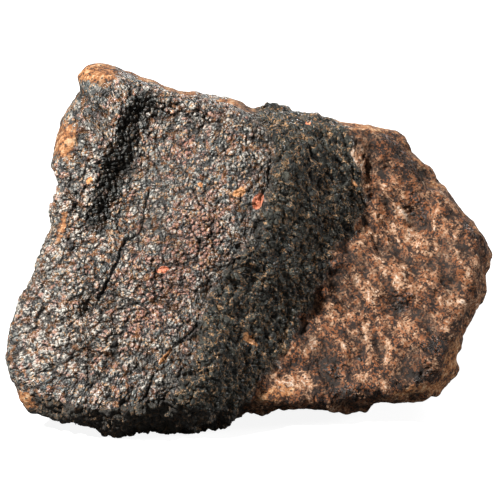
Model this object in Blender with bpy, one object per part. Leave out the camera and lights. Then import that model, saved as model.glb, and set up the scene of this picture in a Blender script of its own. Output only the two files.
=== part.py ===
"""A stony meteorite, one natural solid that stands on a small flat foot.

The stone is described as a person sees it from the front, looking a little down:
across to the right, up, and away from the eye, in millimetres from the middle of
the stone. The last step turns that view upright and puts the foot on the ground.
"""

import math

import bmesh
import bpy
import numpy as np
from mathutils import Matrix

MM = 0.001
LOOK_DOWN = math.radians(20.0)

# The stone's rim as seen from the front, anticlockwise from the right: across, up.
OUTLINE = (
    (48.0, -0.9), (45.4, 4.8), (43.3, 6.9), (39.7, 12.1), (37.1, 14.2), (35.3, 17.2), (32.7, 19.6),
    (29.4, 23.8), (16.3, 26.1), (13.3, 27.3), (9.5, 27.6), (5.7, 29.1), (1.0, 29.3), (-10.4, 32.1),
    (-12.2, 31.9), (-16.9, 33.1), (-19.0, 34.3), (-22.9, 35.3), (-28.4, 37.7), (-32.8, 37.7),
    (-35.1, 34.9), (-34.6, 32.0), (-37.9, 26.6), (-39.7, 17.7), (-38.5, 14.8), (-38.4, 11.7),
    (-40.2, 7.8), (-39.7, 5.6), (-41.0, 1.5), (-44.5, -6.9), (-46.6, -10.8), (-48.6, -21.8),
    (-45.0, -30.6), (-43.3, -32.7), (-31.4, -34.9), (-28.5, -36.8), (-22.4, -36.4), (-7.6, -36.3),
    (-1.1, -32.3), (2.9, -32.9), (6.7, -31.5), (18.6, -32.3), (26.5, -30.5), (35.1, -29.5),
    (38.6, -28.0), (41.3, -24.6), (41.4, -21.7), (42.8, -18.8), (43.1, -16.3), (46.8, -9.0),
)

# The big left face is a plane: its depth at the middle, and how it falls away per mm across and up.
LEFT_FACE = (-20.0, -0.26, 0.25)

# The front is folded along these lines, from the bottom to the top or from left to right. Each fold
# has its points (across, up), the slope that it adds on the line's right hand, and its softness.
# Beyond the reach, a fold no longer follows the bends of its line.
RIDGE = ((-20.0, -36.0), (-15.5, -28.0), (-11.5, -22.0), (-9.2, -14.0), (-6.5, -6.5), (-1.2, 0.0),
         (2.0, 8.0), (4.6, 16.5), (3.6, 23.0), (0.5, 29.0), (4.0, 36.0))
CREASE = ((-4.0, -36.0), (-1.0, -29.0), (6.0, -21.5), (8.8, -15.5), (13.4, -8.5), (16.0, -1.5),
          (21.5, 4.0), (23.2, 10.0), (21.5, 17.0), (19.5, 25.5), (27.0, 36.0))
UNDERCUT = ((-60.0, -28.5), (-44.0, -28.6), (-38.0, -29.4), (-28.0, -31.2), (-20.0, -30.2),
            (-12.0, -30.5), (-2.0, -31.0), (10.0, -29.8), (30.0, -28.5), (40.0, -26.0), (60.0, -27.0))
FOLDS = (
    (RIDGE, 0.95, 1.6),
    (CREASE, -0.72, 2.2),
    (UNDERCUT, 1.5, 1.4),
)
BEND_REACH = 16.0

# The rim is the widest line round the stone: it lies deeper to the right and up, and the sides lean in
# from it towards the front and the back.
RIM_DEPTH = (-0.5, 0.10, 0.20)
FRONT_LEAN = 0.15
BACK_LEAN = 0.30
RIM_ROUNDING = 2.0

# The notches in the outline fade out over this depth, into a line that is smoothed over some degrees
# and lies a little further in.
NOTCH_DEPTH = 6.0
SMOOTHING_DEGREES = 9
SMOOTHED_INSET = 1.0
TURN_STEPS = 360

# Flat faces round the back: the way each looks (across, up, away) and its distance from the middle.
BACK_FACES = (
    ((0.10, 0.12, 0.99), 22.0),
    ((-0.58, 0.22, 0.78), 31.0),
    ((0.62, 0.10, 0.78), 35.0),
    ((0.06, 0.74, 0.67), 30.0),
    ((0.14, -0.46, 0.88), 30.0),
)
EDGE_ROUNDING = 1.1

# How far the foot is below the middle of the view.
FOOT_DEPTH = 30.9

# A bank in the front: from the lip along these points (across, up) the face drops at this slope over
# this width to the right, and comes back gently over this reach. The bank fades out at both ends.
BANK_LIP = ((-33.5, 3.0), (-31.6, 11.0), (-29.6, 17.8), (-27.4, 23.0), (-25.4, 28.0), (-22.0, 33.5))
BANK_SLOPE = 1.1
BANK_WIDTH = 5.0
BANK_REACH = 11.0
BANK_FADE = 0.2
BANK_LIP_SOFTNESS = 0.6
BANK_FOOT_SOFTNESS = 3.0

# Hollows in the front, and swellings with a depth below zero: across, up, half length, half width,
# turn in degrees, depth.
PITS = (
    (-33.6, 29.8, 1.2, 0.9, 0, 1.3),
    (-2.4, 0.4, 1.0, 0.8, 40, 1.2),
    (-32.4, -11.6, 1.8, 0.7, 50, 1.2),
    (0.0, -17.4, 1.9, 0.8, -55, 1.3),
    (6.0, -25.6, 1.3, 1.0, 0, 1.2),
    (10.4, -16.4, 1.8, 1.2, 0, 1.0),
)
RIGHT_FACE_WAVES = (
    (33.6, 7.2, 4.2, 2.6, -60, 1.2),
    (30.4, -11.2, 3.4, 2.4, 10, 1.2),
    (43.0, 3.0, 4.0, 2.2, -55, 1.0),
    (18.0, -24.0, 5.0, 3.5, 10, 0.9),
    (29.0, 20.0, 4.0, 3.0, -40, 0.8),
    (36.0, -19.0, 6.0, 4.5, 30, -1.0),
    (27.0, -4.0, 4.0, 6.0, 30, -1.0),
    (21.6, 17.5, 6.0, 1.3, -78, -1.1),
)
LEFT_FACE_SWELLINGS = (
    (-7.5, -23.5, 6.5, 5.0, 70, -2.2),
    (-37.0, 21.5, 3.2, 2.4, 80, -1.2),
    (-31.0, 31.5, 3.5, 2.5, 30, -0.8),
)

# Thumbprints are hollows side by side, with soft ridges between them: their spacing, how sharp the
# ridges are, the level between hollow and ridge, and how strong they are on the back, from this far
# behind the rim, and on the front's right face, from this far past the crease.
THUMBPRINT_SPACING = 13.0
THUMBPRINT_SHARPNESS = 7.0
THUMBPRINT_LEVEL = 0.3
BACK_THUMBPRINTS = 5.0
BACK_START = 8.0
RIGHT_THUMBPRINTS = 2.2
RIGHT_START = 6.0

# Lumps all over: their spacing and how far they stand out.
LUMPS = ((15.0, 0.9), (7.5, 0.55), (3.8, 0.22))
LATTICE_SIDE = 32
STONE_SEED = 7

# Relief is kept low this near to the rim, so that the outline stays. Hollows in the front count fully
# where the surface faces it this squarely.
QUIET_RIM = 4.0
QUIET_SHARE = 0.75
FRONT_SQUARENESS = 0.4

# Rays start inside a flat disc in the stone's middle, this share of its reach, and end outside.
REACH = (47.0, 35.0, 24.0)
DISC_SHARE = 0.62
DISC_DEPTH = 3.0
RAY_LENGTH = 70.0
RAY_HALVINGS = 26

BALL_SUBDIVISIONS = 6
KEPT_TRIANGLES = 8600
CUTTER_SIDE = 200.0
STONE_COLOUR = (0.085, 0.072, 0.058, 1.0)
STONE_ROUGHNESS = 0.55


def clear_scene():
    for thing in list(bpy.data.objects):
        bpy.data.objects.remove(thing)


def smooth_line(points, steps=8):
    """A curve through the points, as a Catmull-Rom spline with this many steps a span."""
    knots = np.array(points, float)
    before = np.vstack([2 * knots[:1] - knots[1:2], knots[:-1]])
    after = np.vstack([knots[1:], 2 * knots[-1:] - knots[-2:-1]])
    t = (np.arange(steps) / steps)[None, :, None]
    start, end = knots[:-1, None], knots[1:, None]
    leave, arrive = (after - before)[:-1, None] / 2, (after - before)[1:, None] / 2
    spans = (
        (2 * t**3 - 3 * t**2 + 1) * start
        + (t**3 - 2 * t**2 + t) * leave
        + (3 * t**2 - 2 * t**3) * end
        + (t**3 - t**2) * arrive
    )
    return np.vstack([spans.reshape(-1, 2), knots[-1:]])


def past_line(across, up, points):
    """How far each point is past a nearly straight line, on its right hand, and where along it.

    The line wanders off its chord. Near the line the distance is measured from the line itself,
    and far away from its chord, so that a fold follows the line and the faces beside it stay even.
    The place along it is 0 at the chord's start and 1 at its end.
    """
    line = smooth_line(points)
    start, end = line[0], line[-1]
    length = math.dist(start, end)
    ahead = (end - start) / length
    right = np.array((ahead[1], -ahead[0]))
    along = (across - start[0]) * ahead[0] + (up - start[1]) * ahead[1]
    over = (across - start[0]) * right[0] + (up - start[1]) * right[1]
    wander = np.interp(along, (line - start) @ ahead, (line - start) @ right)
    past = over - wander
    return past + wander * (1 - np.exp(-((past / BEND_REACH) ** 2))), along / length


def soft_ramp(distance, softness):
    """0 well before the line and the distance itself well past it, rounded in between."""
    return 0.5 * (distance + np.sqrt(distance**2 + softness**2))


def rim_radius(across, up, past_rim):
    """Distance from the middle to the rim, in the direction of each point.

    At the rim it is the outline's, and away from it that of the outline smoothed round the stone.
    """
    full = 2 * np.pi
    line = smooth_line(OUTLINE + OUTLINE[:1])
    turn = np.arange(TURN_STEPS) * full / TURN_STEPS
    outline = np.interp(turn, np.arctan2(line[:, 1], line[:, 0]), np.hypot(*line.T), period=full)
    weights = np.exp(-((np.minimum(turn, full - turn) / math.radians(SMOOTHING_DEGREES)) ** 2))
    spread = np.fft.rfft(weights / weights.sum())
    smoothed = np.fft.irfft(np.fft.rfft(outline) * spread, TURN_STEPS) - SMOOTHED_INSET
    angle = np.arctan2(up, across)
    detailed = np.interp(angle, turn, outline, period=full)
    plain = np.interp(angle, turn, smoothed, period=full)
    return plain + (detailed - plain) * np.exp(-((past_rim / NOTCH_DEPTH) ** 2))


def plane_depth(plane, across, up):
    return plane[0] + plane[1] * across + plane[2] * up


def front_depth(across, up):
    """Depth of the front: the left face, folded along the ridge, the crease and the undercut."""
    depth = plane_depth(LEFT_FACE, across, up)
    for line, slope, softness in FOLDS:
        depth = depth + slope * soft_ramp(past_line(across, up, line)[0], softness)
    return depth


def outside(points):
    """How far each point is outside the plain stone, in mm, and below zero inside it.

    It is the highest of the distances past the rim, the front and the back faces. Taking the logarithm
    of their exponentials' sum, instead of the highest one, rounds the edges between them.
    """
    across, up, away = points.T
    past_rim = away - plane_depth(RIM_DEPTH, across, up)
    lean = np.where(past_rim < 0, FRONT_LEAN, BACK_LEAN)
    rim = np.hypot(across, up) - rim_radius(across, up, past_rim)
    rim += lean * (np.hypot(past_rim, RIM_ROUNDING) - RIM_ROUNDING)
    faces = [rim, front_depth(across, up) - away]
    for (nx, ny, nz), distance in BACK_FACES:
        faces.append((nx * across + ny * up + nz * away) / math.hypot(nx, ny, nz) - distance)
    faces = np.array(faces) / EDGE_ROUNDING
    highest = faces.max(axis=0)
    return EDGE_ROUNDING * (highest + np.log(np.exp(faces - highest).sum(axis=0)))


def plain_stone(directions):
    """Where a ray in each direction leaves the plain stone, found by halving the ray."""
    across, up, away = (directions * np.array(REACH)).T
    start = np.stack([DISC_SHARE * across, DISC_SHARE * up, 0 * away], axis=1)
    start[:, 2] = DISC_DEPTH + plane_depth(RIM_DEPTH, start[:, 0], start[:, 1])
    ray = np.stack([(1 - DISC_SHARE) * across, (1 - DISC_SHARE) * up, away], axis=1)
    ray /= np.linalg.norm(ray, axis=1, keepdims=True)
    near = np.zeros(len(ray))
    far = np.full(len(ray), RAY_LENGTH)
    for _ in range(RAY_HALVINGS):
        middle = (near + far) / 2
        out = outside(start + ray * middle[:, None]) > 0
        far = np.where(out, middle, far)
        near = np.where(out, near, middle)
    return start + ray * near[:, None]


def outward(points):
    """Unit normals of the plain stone, from how fast outside() changes along each axis."""
    step = 0.05
    slopes = [outside(points + step * axis) - outside(points - step * axis) for axis in np.eye(3)]
    normals = np.stack(slopes, axis=1)
    return normals / np.linalg.norm(normals, axis=1, keepdims=True)


def smooth_noise(points, spacing, seed):
    """Random height from -1 to 1 that changes smoothly over the spacing."""
    lattice = np.random.default_rng(seed).uniform(-1, 1, (LATTICE_SIDE,) * 3)
    place = points / spacing
    cell = np.floor(place).astype(int)
    share = place - cell
    share = share * share * (3 - 2 * share)
    height = np.zeros(len(points))
    for corner in np.ndindex(2, 2, 2):
        weight = np.prod(np.where(corner, share, 1 - share), axis=1)
        i, j, k = ((cell + corner) % LATTICE_SIDE).T
        height += weight * lattice[i, j, k]
    return height


def hollows(points, spacing, seed):
    """Squared distance to the nearest centre of a loose lattice, in spacings, rounded at the ridges."""
    jitter = np.random.default_rng(seed).uniform(0, 1, (LATTICE_SIDE,) * 3 + (3,))
    place = points / spacing
    cell = np.floor(place).astype(int)
    nearness = np.zeros(len(points))
    for step in np.ndindex(3, 3, 3):
        neighbour = cell + step - 1
        i, j, k = (neighbour % LATTICE_SIDE).T
        gap = ((place - neighbour - jitter[i, j, k]) ** 2).sum(axis=1)
        nearness += np.exp(-THUMBPRINT_SHARPNESS * gap)
    return -np.log(nearness) / THUMBPRINT_SHARPNESS


def bank_depth(across, up):
    """Depth of the face right of the bank's lip: a ramp over its width, then a gentle way back."""
    past, along = past_line(across, up, BANK_LIP)
    beyond = soft_ramp(past - BANK_WIDTH, BANK_FOOT_SOFTNESS)
    drop = BANK_SLOPE * (soft_ramp(past, BANK_LIP_SOFTNESS) - beyond)
    fade = np.clip(np.minimum(along, 1 - along) / BANK_FADE, 0, 1)
    return drop * np.exp(-((beyond / BANK_REACH) ** 2)) * fade * fade * (3 - 2 * fade)


def dent_depth(across, up):
    """Depth of the pits and waves: each a bell over a turned oval, exp(-x^2 - y^2) in its halves."""
    depth = np.zeros(across.shape)
    dents = PITS + RIGHT_FACE_WAVES + LEFT_FACE_SWELLINGS
    for middle_x, middle_y, half_length, half_width, turn, deepest in dents:
        angle = math.radians(turn)
        x, y = across - middle_x, up - middle_y
        along = x * math.cos(angle) + y * math.sin(angle)
        over = y * math.cos(angle) - x * math.sin(angle)
        depth += deepest * np.exp(-((along / half_length) ** 2) - (over / half_width) ** 2)
    return depth


def stone_surface(directions):
    """Points on the finished stone: the plain one with its thumbprints, lumps, bank and dents."""
    points = plain_stone(directions)
    normals = outward(points)
    across, up, away = points.T
    past_rim = away - plane_depth(RIM_DEPTH, across, up)
    on_front = np.clip(-normals[:, 2] / FRONT_SQUARENESS, 0, 1)
    on_right = on_front * np.clip(past_line(across, up, CREASE)[0] / RIGHT_START, 0, 1)
    on_back = np.clip(past_rim / BACK_START, 0, 1)
    thumbprints = BACK_THUMBPRINTS * on_back + RIGHT_THUMBPRINTS * on_right
    inward = thumbprints * (THUMBPRINT_LEVEL - hollows(points, THUMBPRINT_SPACING, STONE_SEED))
    for n, (spacing, height) in enumerate(LUMPS):
        inward -= height * smooth_noise(points, spacing, STONE_SEED + n)
    near_rim = np.exp(-((past_rim / QUIET_RIM) ** 2)) * (1 - np.abs(normals[:, 2]))
    inward *= 1 - QUIET_SHARE * near_rim
    moved = points - normals * inward[:, None]
    moved[:, 2] += on_front * (bank_depth(across, up) + dent_depth(across, up))
    return moved


def upright():
    """Turns the front view upright, with the foot's plane at height 0, and mm into metres."""
    sine, cosine = math.sin(LOOK_DOWN), math.cos(LOOK_DOWN)
    turn = Matrix(((1, 0, 0, 0), (0, sine, cosine, 0), (0, cosine, -sine, FOOT_DEPTH), (0, 0, 0, 1)))
    return Matrix.Scale(MM, 4) @ turn


def make_material():
    material = bpy.data.materials.new("weathered_fusion_crust")
    material.use_nodes = True
    shader = material.node_tree.nodes["Principled BSDF"]
    shader.inputs["Base Color"].default_value = STONE_COLOUR
    shader.inputs["Roughness"].default_value = STONE_ROUGHNESS
    shader.inputs["Metallic"].default_value = 0.0
    return material


def make_ground_cutter(collection):
    """A block whose top is the ground: what it removes leaves the stone's flat foot."""
    side = CUTTER_SIDE * MM
    bpy.ops.mesh.primitive_cube_add(size=side, location=(0, 0, -side / 2))
    cutter = bpy.context.object
    cutter.name = "ground_cutter"
    cutter.hide_render = True
    cutter.display_type = "WIRE"
    for old in list(cutter.users_collection):
        old.objects.unlink(cutter)
    collection.objects.link(cutter)
    return cutter


def make_meteorite(collection, cutter):
    """A fine ball, pushed out to the stone's surface, thinned to large facets and cut at the foot."""
    ball = bmesh.new()
    bmesh.ops.create_icosphere(ball, subdivisions=BALL_SUBDIVISIONS, radius=1.0)
    mesh = bpy.data.meshes.new("meteorite")
    ball.to_mesh(mesh)
    ball.free()
    directions = np.empty(len(mesh.vertices) * 3)
    mesh.vertices.foreach_get("co", directions)
    surface = stone_surface(directions.reshape(-1, 3))
    mesh.vertices.foreach_set("co", surface.astype(np.float32).ravel())
    mesh.transform(upright())
    # The photograph's axes are a mirror image of Blender's, so the faces are turned outwards again.
    mesh.flip_normals()
    mesh.update()
    stone = bpy.data.objects.new("meteorite", mesh)
    collection.objects.link(stone)
    mesh.materials.append(make_material())
    thin = stone.modifiers.new("thin_to_facets", "DECIMATE")
    thin.ratio = KEPT_TRIANGLES / len(mesh.polygons)
    cut = stone.modifiers.new("flat_foot", "BOOLEAN")
    cut.operation = "DIFFERENCE"
    cut.solver = "EXACT"
    cut.object = cutter
    return stone


def centre_on_foot(stone):
    """Moves the stone sideways so that the middle of its box stands over the origin."""
    graph = bpy.context.evaluated_depsgraph_get()
    mesh = stone.evaluated_get(graph).to_mesh()
    points = np.empty(len(mesh.vertices) * 3)
    mesh.vertices.foreach_get("co", points)
    points = points.reshape(-1, 3)
    middle = (points.min(axis=0) + points.max(axis=0)) / 2
    stone.location = (-middle[0], -middle[1], 0)


def main():
    clear_scene()
    stone_collection = bpy.data.collections.new("meteorite")
    cutter_collection = bpy.data.collections.new("cutters")
    for collection in (stone_collection, cutter_collection):
        bpy.context.scene.collection.children.link(collection)
    cutter = make_ground_cutter(cutter_collection)
    stone = make_meteorite(stone_collection, cutter)
    centre_on_foot(stone)


main()
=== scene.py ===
"""The finished look of a stony meteorite that stands on its small flat foot.

The stone's surface is worked out as whole arrays: a grid of directions is pushed out to the plain
stone, which gets its thumbprints, lumps, bank and pits, then the crust's pebbles, ripples and cracks.
Its marks are kept as values on the surface, and the material draws the grains, veins and colours.

Shapes are described as a person sees the stone from the front, looking a little down: across to the
right, up, and away from the eye, in millimetres from the middle of the view.
"""

import math

import bpy
import numpy as np
from bpy.props import FloatProperty, FloatVectorProperty, PointerProperty
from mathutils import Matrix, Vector


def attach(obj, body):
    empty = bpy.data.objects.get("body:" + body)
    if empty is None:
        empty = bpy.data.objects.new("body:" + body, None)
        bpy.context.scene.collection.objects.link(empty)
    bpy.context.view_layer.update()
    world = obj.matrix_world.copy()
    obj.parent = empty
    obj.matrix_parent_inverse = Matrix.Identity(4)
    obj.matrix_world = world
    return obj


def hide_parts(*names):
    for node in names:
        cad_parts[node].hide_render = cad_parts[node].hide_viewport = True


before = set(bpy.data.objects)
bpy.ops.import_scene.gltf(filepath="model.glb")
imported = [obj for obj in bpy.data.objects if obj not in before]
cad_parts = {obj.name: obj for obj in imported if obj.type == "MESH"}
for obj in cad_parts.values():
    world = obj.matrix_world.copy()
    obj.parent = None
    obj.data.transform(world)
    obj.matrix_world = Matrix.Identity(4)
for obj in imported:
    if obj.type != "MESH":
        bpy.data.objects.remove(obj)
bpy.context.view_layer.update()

bl_info = {
    "name": "Stony Meteorite",
    "version": (1, 0, 0),
    "blender": (4, 5, 0),
    "location": "View3D > Sidebar > Meteorite",
    "description": "Builds a weathered stony meteorite with a pebbly fusion crust",
    "category": "Add Mesh",
}

MM = 0.001
LOOK_DOWN = math.radians(20.0)

# The plain stone's shape, as in the solid but for one pit.

# The stone's rim as seen from the front, anticlockwise from the right: across, up.
OUTLINE = (
    (48.0, -0.9), (45.4, 4.8), (43.3, 6.9), (39.7, 12.1), (37.1, 14.2), (35.3, 17.2), (32.7, 19.6),
    (29.4, 23.8), (16.3, 26.1), (13.3, 27.3), (9.5, 27.6), (5.7, 29.1), (1.0, 29.3), (-10.4, 32.1),
    (-12.2, 31.9), (-16.9, 33.1), (-19.0, 34.3), (-22.9, 35.3), (-28.4, 37.7), (-32.8, 37.7),
    (-35.1, 34.9), (-34.6, 32.0), (-37.9, 26.6), (-39.7, 17.7), (-38.5, 14.8), (-38.4, 11.7),
    (-40.2, 7.8), (-39.7, 5.6), (-41.0, 1.5), (-44.5, -6.9), (-46.6, -10.8), (-48.6, -21.8),
    (-45.0, -30.6), (-43.3, -32.7), (-31.4, -34.9), (-28.5, -36.8), (-22.4, -36.4), (-7.6, -36.3),
    (-1.1, -32.3), (2.9, -32.9), (6.7, -31.5), (18.6, -32.3), (26.5, -30.5), (35.1, -29.5),
    (38.6, -28.0), (41.3, -24.6), (41.4, -21.7), (42.8, -18.8), (43.1, -16.3), (46.8, -9.0),
)

# The big left face is a plane: its depth at the middle, and how it falls away per mm across and up.
LEFT_FACE = (-20.0, -0.26, 0.25)

# The front is folded along these lines, from the bottom to the top or from left to right. Each fold
# has its points (across, up), the slope that it adds on the line's right hand, and its softness.
# Beyond the reach, a fold no longer follows the bends of its line.
RIDGE = ((-20.0, -36.0), (-15.5, -28.0), (-11.5, -22.0), (-9.2, -14.0), (-6.5, -6.5), (-1.2, 0.0),
         (2.0, 8.0), (4.6, 16.5), (3.6, 23.0), (0.5, 29.0), (4.0, 36.0))
CREASE = ((-4.0, -36.0), (-1.0, -29.0), (6.0, -21.5), (8.8, -15.5), (13.4, -8.5), (16.0, -1.5),
          (21.5, 4.0), (23.2, 10.0), (21.5, 17.0), (19.5, 25.5), (27.0, 36.0))
UNDERCUT = ((-60.0, -28.5), (-44.0, -28.6), (-38.0, -29.4), (-28.0, -31.2), (-20.0, -30.2),
            (-12.0, -30.5), (-2.0, -31.0), (10.0, -29.8), (30.0, -28.5), (40.0, -26.0), (60.0, -27.0))
FOLDS = (
    (RIDGE, 0.95, 1.6),
    (CREASE, -0.72, 2.2),
    (UNDERCUT, 1.5, 1.4),
)
BEND_REACH = 16.0

# The rim is the widest line round the stone: it lies deeper to the right and up, and the sides lean in
# from it towards the front and the back.
RIM_DEPTH = (-0.5, 0.10, 0.20)
FRONT_LEAN = 0.15
BACK_LEAN = 0.30
RIM_ROUNDING = 2.0

# The notches in the outline fade out over this depth, into a line that is smoothed over some degrees
# and lies a little further in.
NOTCH_DEPTH = 6.0
SMOOTHING_DEGREES = 9
SMOOTHED_INSET = 1.0
TURN_STEPS = 360

# Flat faces round the back: the way each looks (across, up, away) and its distance from the middle.
BACK_FACES = (
    ((0.10, 0.12, 0.99), 22.0),
    ((-0.58, 0.22, 0.78), 31.0),
    ((0.62, 0.10, 0.78), 35.0),
    ((0.06, 0.74, 0.67), 30.0),
    ((0.14, -0.46, 0.88), 30.0),
)
EDGE_ROUNDING = 1.1

# How far the foot is below the middle of the view.
FOOT_DEPTH = 30.9

# A bank in the front: from the lip along these points (across, up) the face drops at this slope over
# this width to the right, and comes back gently over this reach. The bank fades out at both ends.
BANK_LIP = ((-33.5, 3.0), (-31.6, 11.0), (-29.6, 17.8), (-27.4, 23.0), (-25.4, 28.0), (-22.0, 33.5))
BANK_SLOPE = 1.1
BANK_WIDTH = 5.0
BANK_REACH = 11.0
BANK_FADE = 0.2
BANK_LIP_SOFTNESS = 0.6
BANK_FOOT_SOFTNESS = 3.0

# Hollows in the front, and swellings with a depth below zero: across, up, half length, half width,
# turn in degrees, depth. The last pit is shallower than in the solid, so that it isn't a black hole.
PITS = (
    (-33.6, 29.8, 1.2, 0.9, 0, 1.3),
    (-2.4, 0.4, 1.0, 0.8, 40, 1.2),
    (-32.4, -11.6, 1.8, 0.7, 50, 1.2),
    (0.0, -17.4, 1.9, 0.8, -55, 1.3),
    (6.0, -25.6, 1.3, 1.0, 0, 1.2),
    (10.4, -16.4, 1.8, 1.2, 0, 0.3),
)
RIGHT_FACE_WAVES = (
    (33.6, 7.2, 4.2, 2.6, -60, 1.2),
    (30.4, -11.2, 3.4, 2.4, 10, 1.2),
    (43.0, 3.0, 4.0, 2.2, -55, 1.0),
    (18.0, -24.0, 5.0, 3.5, 10, 0.9),
    (29.0, 20.0, 4.0, 3.0, -40, 0.8),
    (36.0, -19.0, 6.0, 4.5, 30, -1.0),
    (27.0, -4.0, 4.0, 6.0, 30, -1.0),
    (21.6, 17.5, 6.0, 1.3, -78, -1.1),
)
LEFT_FACE_SWELLINGS = (
    (-7.5, -23.5, 6.5, 5.0, 70, -2.2),
    (-37.0, 21.5, 3.2, 2.4, 80, -1.2),
    (-31.0, 31.5, 3.5, 2.5, 30, -0.8),
)

# Thumbprints are hollows side by side, with soft ridges between them: their spacing, how sharp the
# ridges are, the level between hollow and ridge, and how strong they are on the back, from this far
# behind the rim, and on the front's right face, from this far past the crease.
THUMBPRINT_SPACING = 13.0
THUMBPRINT_SHARPNESS = 7.0
THUMBPRINT_LEVEL = 0.3
BACK_THUMBPRINTS = 5.0
BACK_START = 8.0
RIGHT_THUMBPRINTS = 2.2
RIGHT_START = 6.0

# Lumps all over: their spacing and how far they stand out.
LUMPS = ((15.0, 0.9), (7.5, 0.55), (3.8, 0.22))
LATTICE_SIDE = 32
STONE_SEED = 7

# Relief is kept low this near to the rim, so that the outline stays. Hollows in the front count fully
# where the surface faces it this squarely.
QUIET_RIM = 4.0
QUIET_SHARE = 0.75
FRONT_SQUARENESS = 0.4

# Rays start inside a flat disc in the stone's middle, this share of its reach, and end outside.
REACH = (47.0, 35.0, 24.0)
DISC_SHARE = 0.62
DISC_DEPTH = 3.0
RAY_LENGTH = 70.0
RAY_HALVINGS = 26

# What only the finished surface has.

# The body's front sheet has three cells for two of its back sheet's where they meet. Each sheet's cells
# are drawn together towards its middle by this share, and the back sheet stops short of the seam.
SEAM_GROUPS = 86
FRONT_CELLS = 3 * SEAM_GROUPS
BACK_CELLS = 2 * SEAM_GROUPS
GATHERING = 0.16
GATHERING_POWER = 8
BACK_EDGE = 0.988
FRONT_CHART = (0.004, 0.600)
BACK_CHART = (0.606, 0.996)
CHART_MARGIN = 0.004

# Four fine skins lie side by side on the front, over u from left to right and over v within the
# reach. Each has this many cells. At their outer border they dip into the body over some cells, and
# under them the body is sunk, from a start inside their border.
SKINS = (
    ("front_far_left", -0.94, -0.47),
    ("front_near_left", -0.47, 0.0),
    ("front_near_right", 0.0, 0.47),
    ("front_far_right", 0.47, 0.94),
)
SKIN_REACH = 0.94
SKIN_CELLS = (178, 526)
DIP_CELLS = 3
DIP = 0.9
SUNK = 1.2
SUNK_START = 0.015
SUNK_WIDTH = 0.03

# Sideways move, in mm, that brings the middle of the stone's box over the origin.
SIDE_SHIFT = (0.3, 0.9)

# Pebbles of several sizes: their spacing, and their shares of the pebble height and of the tone. How
# far one noise moves them about, and by what share another one makes them higher or lower.
PEBBLES = ((3.4, 0.9, 0.20), (1.7, 0.5, 0.20), (0.95, 1.1, 0.60))
PEBBLE_SEED = 34
PEBBLE_BEND = 0.30
PEBBLE_RISE = 0.35

# A pebble's dome, how much its own number adds, how far its top leans over, and its middle height. The
# width and depth of the crevices between pebbles.
DOME_FALL = 1.4
DOME_RISE = 0.45
DOME_LEAN = 0.9
DOME_MIDDLE = 0.75
CREVICE_WIDTH = 0.12
CREVICE_DEPTH = 0.6

# The smallest things that the body's cells and the skins' cells can show.
BODY_FINEST = 1.2
SKIN_FINEST = 0.45

# Bumps of the small relief: spacing, height, seed.
CRUST_BUMPS = ((5.2, 0.42, 60), (0.5, 0.03, 61))
BAND_BUMPS = ((4.5, 0.40, 60), (1.2, 0.20, 61), (0.5, 0.07, 62))
BROWN_BUMPS = ((1.25, 0.16, 60), (0.6, 0.07, 61))
RUST_BUMPS = ((3.0, 0.25, 60), (1.4, 0.20, 61), (0.7, 0.10, 62))

# The band and the brown face have patterns along these diagonals, as turns in degrees in the view.
BAND_TURN = -38
BROWN_TURN = -58

# Ripples and waves: turn, spacing along the line and across it, height, seed.
BAND_RIPPLES = ((BAND_TURN, 3.0, 1.5, 0.62, 37),)
BROWN_WAVES = ((BROWN_TURN, 6.5, 2.8, 1.0, 40), (-50, 2.6, 1.5, 0.50, 41))

# Scales: turn, stretch along the line and across it, spacing, height, seed.
BAND_SCALES = ((BAND_TURN, 1.7, 1.0, 1.25, 0.36, 47), (-20, 1.2, 0.9, 0.75, 0.18, 48))
BROWN_SCALES = ((-55, 1.5, 1.0, 1.25, 0.10, 49),)

# The brown face's small pits: their spacing, their width in spacings, their share of the places, and
# their depth. The underside is this much rougher than the band.
BROWN_PITS = (1.5, 0.24, 0.6, 0.38)
UNDER_ROUGHER = 1.4

# The ridge is worn down by this much, over this width, with chips out of it this deep.
RIDGE_WEAR = 0.5
RIDGE_WEAR_WIDTH = 2.4
RIDGE_CHIPS = 1.3

# A crack's groove is at least this wide on each side. Rings run round the nose of the dark band: its
# middle (across, up) and reach, and the rings' spacing and height.
CRACK_SHOULDER = 0.26
NOSE = (-7.0, -24.0, 8.5)
NOSE_RING_SPACING = 1.3
NOSE_RING_HEIGHT = 0.12

# Noises that move lines and chips about, move the covers' edges about, mottle the back and crumble the
# rust: spacing, height, seed.
WANDER = ((1.1, 0.25, 25),)
WOBBLE = ((3.1, 1.0, 21), (1.2, 0.5, 22))
MOTTLE = ((11.0, 1.0, 23), (4.2, 0.6, 24))
CRUMBLE = ((2.6, 0.9, 26), (1.1, 0.5, 27), (7.0, 0.9, 28))

# Where one cover turns into the next: how far past a line, in mm, it starts and is full. The painted
# shadow in the bank also fades at its two tips, in shares of its length.
RIM_FADE = (-1.0, 2.5)
RIDGE_FADE = (-1.5, 1.1)
CREASE_FADE = (-1.6, 1.6)
UNDERCUT_FADE = (-0.5, 1.2)
UNDER_END = (-6.0, 2.0)
BANK_SHADE_START = (-0.4, 1.2)
BANK_SHADE_END = (-6.2, -3.4)
BANK_SHADE_TIPS = (-0.02, 0.10)

# Where the back's mottling noise turns it into brown stone, band and rust.
BACK_BROWN_FADE = (0.05, 0.45)
BACK_BAND_FADE = (0.30, 0.70)
BACK_RUST_FADE = (0.30, 0.90)

# How squarely the surface faces up, to a side or to the front, where that starts and fully counts.
FACES_UP = (0.45, 0.80)
FACES_SIDE = (0.30, 0.70)
FACES_FRONT = (0.30, 0.62)

# How much rust there is in the strip along the top, on the two side walls and on the back.
TOP_RUST = 1.15
LEFT_WALL_RUST = 0.12
RIGHT_WALL_RUST = 0.30
BACK_RUST = 0.35

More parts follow.
